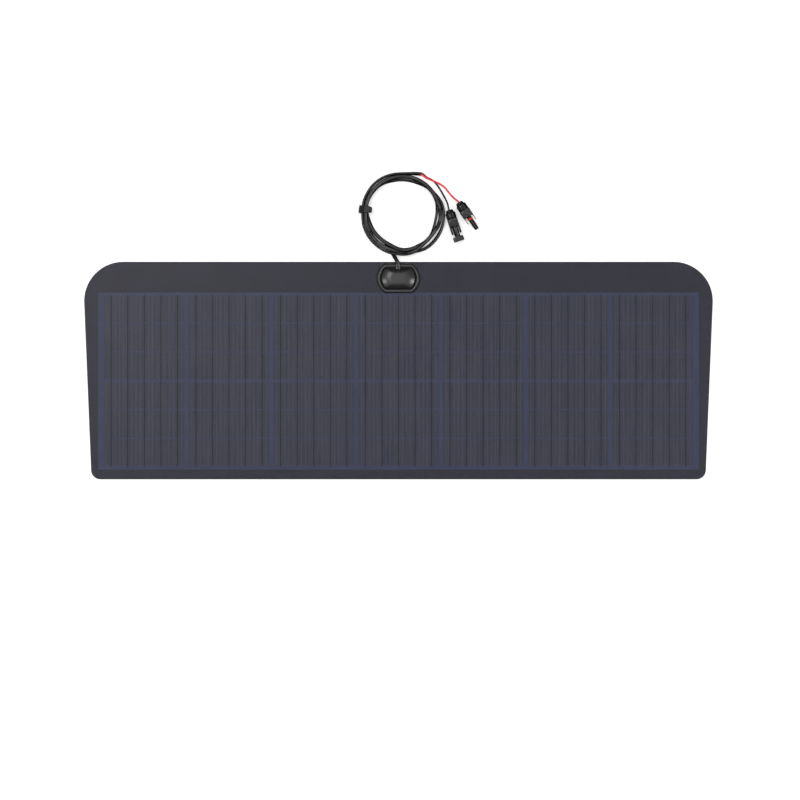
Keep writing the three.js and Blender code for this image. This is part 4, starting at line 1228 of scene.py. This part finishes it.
def make_nut(name, place, body):
    """A cap nut: a collar for the cable, a flared shoulder and a fluted grip, open towards the housing."""
    shape = Shape()
    profile = [(0.0, 5.3), (0.25, 6.0), (0.8, 6.6), (1.3, 6.9), (3.2, 7.15), (4.4, 7.3), (4.9, 7.7),
               (5.6, 8.6), (6.1, 9.2, 1), (6.6, 9.65, 1), (7.4, 9.8, 1), (11.2, 9.8, 1), (15.4, 9.8, 1),
               (16.3, 9.6, 1), (16.8, 9.2, 1), (17.0, 8.7), (17.0, 7.4), (16.7, 7.3), (6.2, 7.3),
               (5.8, 7.0), (5.8, 5.9), (5.6, 5.75), (3.2, 5.75), (3.0, 5.5), (3.0, 2.4), (2.7, 2.1),
               (0.4, 2.1), (0.0, 2.5)]
    shape.add_turned(profile, sides=96, closed=True, lobes=NUT_LOBES, root=NUT_ROOT)
    return shape.piece(name, [PLUG_PLASTIC], sharp=42, place=place, body=body)


def add_thread(shape):
    """The thread that the nut turns on, as rounded ridges on a sleeve."""
    profile = [(7.0, 5.6), (7.0, THREAD_ROOT)]
    for turn in range(THREAD_TURNS):
        at = turn * THREAD_PITCH
        profile += [(7.4 + at, THREAD_ROOT), (7.9 + at, THREAD_CREST), (8.5 + at, THREAD_CREST),
                    (8.9 + at, THREAD_ROOT)]
    profile += [(17.4, THREAD_ROOT), (17.4, 5.6)]
    shape.add_turned(profile, closed=True)


def add_body(shape, half, front):
    """The rounded block behind the nut, with a window through each side of it."""
    z = PLUG_DEPTH
    behind, ahead = PLUG_WINDOW
    window = (behind - 0.3, ahead + 0.2)
    shape.add_bar([(17.3, -half + 0.7, half - 0.7, -z + 0.7, z - 0.7, 2.2),
                   (17.6, -half + 0.2, half - 0.2, -z + 0.2, z - 0.2, 2.4),
                   (18.0, -half, half, -z, z, 2.5), (behind, -half, half, -z, z, 2.5)])
    shape.add_bar([(x, -4.4, 4.4, -z + 0.12, z - 0.12, 0.6) for x in window])
    for side in (-1, 1):
        shape.add_side_bar(side, [(x, 6.2, half, -z + 0.6, z - 0.6, 0.9) for x in window])
    shape.add_bar([(x, -half, half, -z, z, 2.5) for x in (ahead, front)])


def make_red_housing():
    """The housing of the plug with a nose: threads under the nut, a windowed block, and a stepped nose."""
    shape = Shape()
    add_thread(shape)
    add_body(shape, 9.9, 22.1)
    shape.add_bar([(21.9, -6.1, 6.1, -6.8, 6.8, 1.2), (25.2, -6.1, 6.1, -6.8, 6.8, 1.2),
                   (26.1, -5.6, 5.6, -6.2, 6.2, 1.4), (26.5, -5.2, 5.2, -5.6, 5.6, 1.4)])
    for low, high in ((4.3, 7.05), (-7.05, -4.3)):
        shape.add_bar([(22.0, -9.8, 9.8, low, high, 0.9), (27.4, -9.7, 9.7, low, high, 0.9),
                       (28.2, -9.2, 9.2, low * 0.98, high * 0.98, 0.9),
                       (32.0, -8.8, 8.8, low * 0.95, high * 0.92, 0.9),
                       (32.8, -8.2, 8.2, low * 0.93, high * 0.88, 0.9)])
    # Small pale lugs on the top face, in a lighter plastic: painted highlights.
    for x, across in ((19.6, 4.6), (20.6, -4.6), (29.4, 3.4), (30.2, -3.4), (24.6, 0.6)):
        shape.add_bar([(x - 1.2, across - 0.6, across + 0.6, 6.2, 7.5, 0.35),
                       (x + 1.2, across - 0.6, across + 0.6, 6.2, 7.3, 0.35)], 1)
    nose = [(25.9, 3.0), (25.9, 5.3), (27.0, 5.2), (27.4, 4.7), (28.0, 4.55), (35.6, 4.55), (36.1, 4.9),
            (36.8, 4.9), (37.0, 4.1), (40.4, 4.1), (40.6, 4.75), (41.2, 4.75), (41.8, 4.15), (42.4, 4.05),
            (56.0, 4.05), (60.8, 4.0), (61.6, 3.8), (62.0, 3.3), (62.0, 2.8), (61.7, 2.4), (30.0, 2.4),
            (29.6, 2.1), (26.2, 2.1)]
    shape.add_turned(nose, closed=True)
    for side in (-1, 1):
        shape.add_side_bar(side, [(43.0, 3.4, 4.5, -0.5, 0.5, 0.3), (44.0, 3.4, 4.5, -0.9, 0.9, 0.4),
                                  (55.0, 3.4, 4.5, -0.9, 0.9, 0.4), (56.4, 3.4, 4.5, -0.5, 0.5, 0.3)])
    return shape.piece("nose_plug_housing", [PLUG_PLASTIC, PAINTED_HIGHLIGHT_PLASTIC], sharp=40, place=RED_PLACE)


def make_seal_ring():
    """A lipped silicone ring: three rounded ribs on a short sleeve."""
    shape = Shape()
    profile = [(37.1, 4.3), (40.3, 4.3), (40.3, 4.7)]
    for rib in range(3):
        at = 39.75 - rib * 1.05
        profile += [(at + 0.38, 4.75), (at + 0.2, 5.05), (at, 5.12), (at - 0.2, 5.05), (at - 0.38, 4.75)]
    profile += [(37.1, 4.7)]
    shape.add_turned(profile, sides=56, closed=True)
    return shape.piece("red_seal", [RED_RUBBER], sharp=50, place=RED_PLACE)


def make_latch(name, side, body):
    """A spring finger: a thick root and arm, a hooked shoulder and a thin blade with a thickened tip."""
    stations = [(22.5, 7.3, 9.4, 3.2), (22.8, 7.0, 9.7, 3.6), (27.0, 7.0, 9.75, 3.6),
                (28.2, 6.15, 9.8, 3.6), (32.9, 6.05, 9.9, 3.6), (33.6, 6.4, 9.75, 3.5),
                (34.1, 8.1, 9.4, 3.3), (34.6, 8.3, 9.25, 3.2), (40.0, 8.4, 9.35, 3.0),
                (43.8, 8.55, 9.5, 2.8), (44.6, 8.7, 9.55, 2.7), (45.0, 8.85, 9.4, 2.4)]
    shape = Shape()
    shape.add_side_bar(side, [(x, near, far, -z, z, 0.45) for x, near, far, z in stations])
    for step in range(4):
        middle = 28.9 + step * 1.1
        shape.add_side_bar(side, [(x, 9.6, 10.0, -2.6, 2.6, 0.15) for x in (middle - 0.25, middle + 0.25)])
    return shape.piece(name, [LATCH_PLASTIC], sharp=40, place=RED_PLACE, body=body)


def make_black_housing():
    """The housing with a socket: threads, a windowed block, two side arms, the barrel and a crossbar."""
    shape = Shape()
    add_thread(shape)
    add_body(shape, 9.7, 24.0)
    shape.add_bar([(23.8, -9.6, 9.6, -6.9, 6.9, 2.3), (33.2, -9.6, 9.6, -6.9, 6.9, 2.3),
                   (33.8, -9.2, 9.2, -6.4, 6.4, 2.2), (34.0, -8.8, 8.8, -6.0, 6.0, 2.0)])
    for across in (-6.9, -3.1, 3.1, 6.9):
        shape.add_bar([(x, across - half, across + half, 6.2, top, radius) for x, half, top, radius in (
            (22.8, 0.35, 7.1, 0.2), (23.4, 0.5, 7.5, 0.3), (32.4, 0.5, 7.5, 0.3), (33.2, 0.35, 7.0, 0.2))])
    # Small pale lugs on the top face, in a lighter plastic: painted highlights.
    for x, across, reach in ((20.0, 4.6, 1.2), (21.4, -5.0, 1.0), (32.0, 2.4, 1.0)):
        shape.add_bar([(x - reach, across - 0.5, across + 0.5, 6.2, 7.4, 0.3),
                       (x + reach, across - 0.5, across + 0.5, 6.2, 7.3, 0.3)], 1)
    # A pale strip along the barrel's top, in a lighter plastic: a painted highlight.
    shape.add_bar([(35.6, 1.6, 2.5, 4.0, 5.45, 0.3), (36.4, 1.5, 2.6, 4.0, 5.5, 0.3),
                   (50.0, 1.5, 2.6, 4.0, 5.5, 0.3), (51.0, 1.6, 2.5, 4.0, 5.45, 0.3)], 1)
    arm = [(33.0, 6.0, 9.5, 6.4), (36.0, 6.2, 9.7, 6.2), (44.0, 6.3, 9.7, 5.8), (46.2, 6.4, 9.6, 5.5),
           (47.1, 6.7, 9.3, 5.0), (47.4, 7.1, 9.0, 4.5)]
    for side in (-1, 1):
        shape.add_side_bar(side, [(x, near, far, -z, z, 0.7) for x, near, far, z in arm])
    barrel = [(33.4, 4.4), (33.4, 5.8), (34.6, 5.8), (35.0, 5.4), (46.0, 5.4), (46.5, 5.65), (47.4, 5.65),
              (47.8, 5.4), (54.2, 5.4), (54.2, 5.15), (62.0, 5.15), (62.0, 5.05), (54.2, 5.05), (53.9, 4.3),
              (34.0, 4.3)]
    shape.add_turned(barrel, closed=True)
    for z_low, z_high in ((5.0, 6.4), (-6.4, -5.0)):
        shape.add_bar([(53.6, -9.3, 9.3, z_low, z_high, 0.5), (54.2, -9.9, 9.9, z_low, z_high, 0.6),
                       (61.6, -9.9, 9.9, z_low, z_high, 0.6), (62.2, -9.3, 9.3, z_low, z_high, 0.5)])
    for side in (-1, 1):
        shape.add_side_bar(side, [(x, 5.3 * share, 9.9 * share, -z, z, radius) for x, share, z, radius in (
            (53.6, 0.97, 5.9, 0.9), (54.2, 1.0, 6.3, 1.0), (61.6, 1.0, 6.3, 1.0), (62.2, 0.97, 5.9, 0.9))])
    return shape.piece("socket_plug_housing", [PLUG_PLASTIC, PAINTED_HIGHLIGHT_PLASTIC], sharp=40, place=BLACK_PLACE)


PLUG_PLASTIC = moulded_plastic("plug_plastic", (0.006, 0.006, 0.0065), 0.27, 0.012, 1500, 0.36)
LATCH_PLASTIC = moulded_plastic("latch_plastic", (0.014, 0.014, 0.0145), 0.3, 0.008, 2600)
# Pale plastic for the small lugs and strip on the plug housings, which are painted highlights.
PAINTED_HIGHLIGHT_PLASTIC = moulded_plastic("painted_highlight_plastic", (0.1, 0.1, 0.102), 0.3, 0.01, 1800)
RED_RUBBER = soft_rubber("red_ring", (0.75, 0.035, 0.015), 0.5)

red_pieces = [
    stand_in(make_nut("nose_plug_nut", RED_PLACE, "red_nut"), "plug_plastic", "red_plug_nut"),
    stand_in(make_red_housing(), "plug_plastic", "red_plug_housing"),
    stand_in(make_seal_ring(), "red_ring", "red_plug_seal_ring"),
    stand_in(make_latch("latch_finger_left", 1, "left_latch"), "plug_plastic", "red_plug_latch_left"),
    stand_in(make_latch("latch_finger_right", -1, "right_latch"), "plug_plastic", "red_plug_latch_right"),
]
black_pieces = [
    stand_in(make_nut("socket_plug_nut", BLACK_PLACE, "black_nut"), "plug_plastic", "black_plug_nut"),
    stand_in(make_black_housing(), "plug_plastic", "black_plug_housing"),
]
dress(RUBBER, "red_plug_seal", "black_plug_seal")
dress(PLUG_PLASTIC, "red_plug_cage", "black_plug_cage")
dress(METAL, "red_plug_contact", "black_plug_contact")
for part in ("seal", "cage", "contact"):
    red_pieces.append(frame["nodes"]["red_plug_" + part])
    black_pieces.append(frame["nodes"]["black_plug_" + part])


# ---- Stage and light ----

FLOOR_REACH = 30.0
FLOOR_Z = -0.4 * MM
FLOOR_GLOW = 0.3


def make_stage():
    """A plain pale floor that glows a little, and that isn't mirrored in the object."""
    white = Shader("floor", 0.7, specular=0.0)
    white.surface.inputs["Emission Color"].default_value = (1.0, 1.0, 1.0, 1.0)
    white.surface.inputs["Emission Strength"].default_value = FLOOR_GLOW
    speck = white.noise(white.object_point(), 40, 3)
    white.colour(white.blend(speck, (0.93, 0.93, 0.93), (0.95, 0.95, 0.95)))
    mesh = bpy.data.meshes.new("floor")
    corners = [(x * FLOOR_REACH, y * FLOOR_REACH, FLOOR_Z) for x, y in ((-1, -1), (1, -1), (1, 1), (-1, 1))]
    mesh.from_pydata(corners, [], [(0, 1, 2, 3)])
    mesh.materials.append(white.material)
    floor = bpy.data.objects.new("floor", mesh)
    bpy.context.scene.collection.objects.link(floor)
    floor.visible_glossy = False


def make_light(name, place, size, power):
    """A soft square lamp that faces the sheet."""
    data = bpy.data.lights.new(name, "AREA")
    data.size = size
    data.energy = power
    lamp = bpy.data.objects.new(name, data)
    lamp.location = place
    lamp.rotation_mode = "QUATERNION"
    lamp.rotation_quaternion = (-Vector(place)).to_track_quat("-Z", "Y")
    bpy.context.scene.collection.objects.link(lamp)


def make_world(overhead, horizon, focus, spread):
    """A studio brightest overhead, falling off fastest towards +Y and -Y, and dark below the horizon."""
    world = bpy.data.worlds.new("studio")
    bpy.context.scene.world = world
    world.use_nodes = True
    nodes, links = world.node_tree.nodes, world.node_tree.links
    background = nodes["Background"].inputs
    background["Color"].default_value = (1.0, 1.0, 1.0, 1.0)

    def math_node(kind, *values):
        made = nodes.new("ShaderNodeMath")
        made.operation = kind
        for socket, value in zip(made.inputs, values):
            if isinstance(value, bpy.types.NodeSocket):
                links.new(value, socket)
            else:
                socket.default_value = value
        return made.outputs[0]

    parts = nodes.new("ShaderNodeSeparateXYZ")
    links.new(nodes.new("ShaderNodeTexCoord").outputs["Generated"], parts.inputs[0])
    x, y, z = parts.outputs
    fallen = math_node("ADD", math_node("MULTIPLY", math_node("MULTIPLY", x, x), spread[0]),
                       math_node("MULTIPLY", math_node("MULTIPLY", y, y), spread[1]))
    left = math_node("MAXIMUM", math_node("SUBTRACT", 1.0, fallen), 0.0)
    glow = math_node("MULTIPLY", math_node("POWER", left, focus), overhead)
    strength = math_node("MULTIPLY", math_node("ADD", glow, horizon), math_node("GREATER_THAN", z, 0.0))
    links.new(strength, background["Strength"])


bpy.context.scene.view_settings.view_transform = "Standard"
make_stage()
make_world(1.78, 0.05, 3.0, (0.8, 0.95))
make_light("key", (-1.1, 1.0, 3.5), 1.2, 30)
make_light("left_side", (-2.2, -0.25, 2.9), 0.35, 18)
make_light("right_side", (2.2, -0.25, 2.9), 0.35, 26)
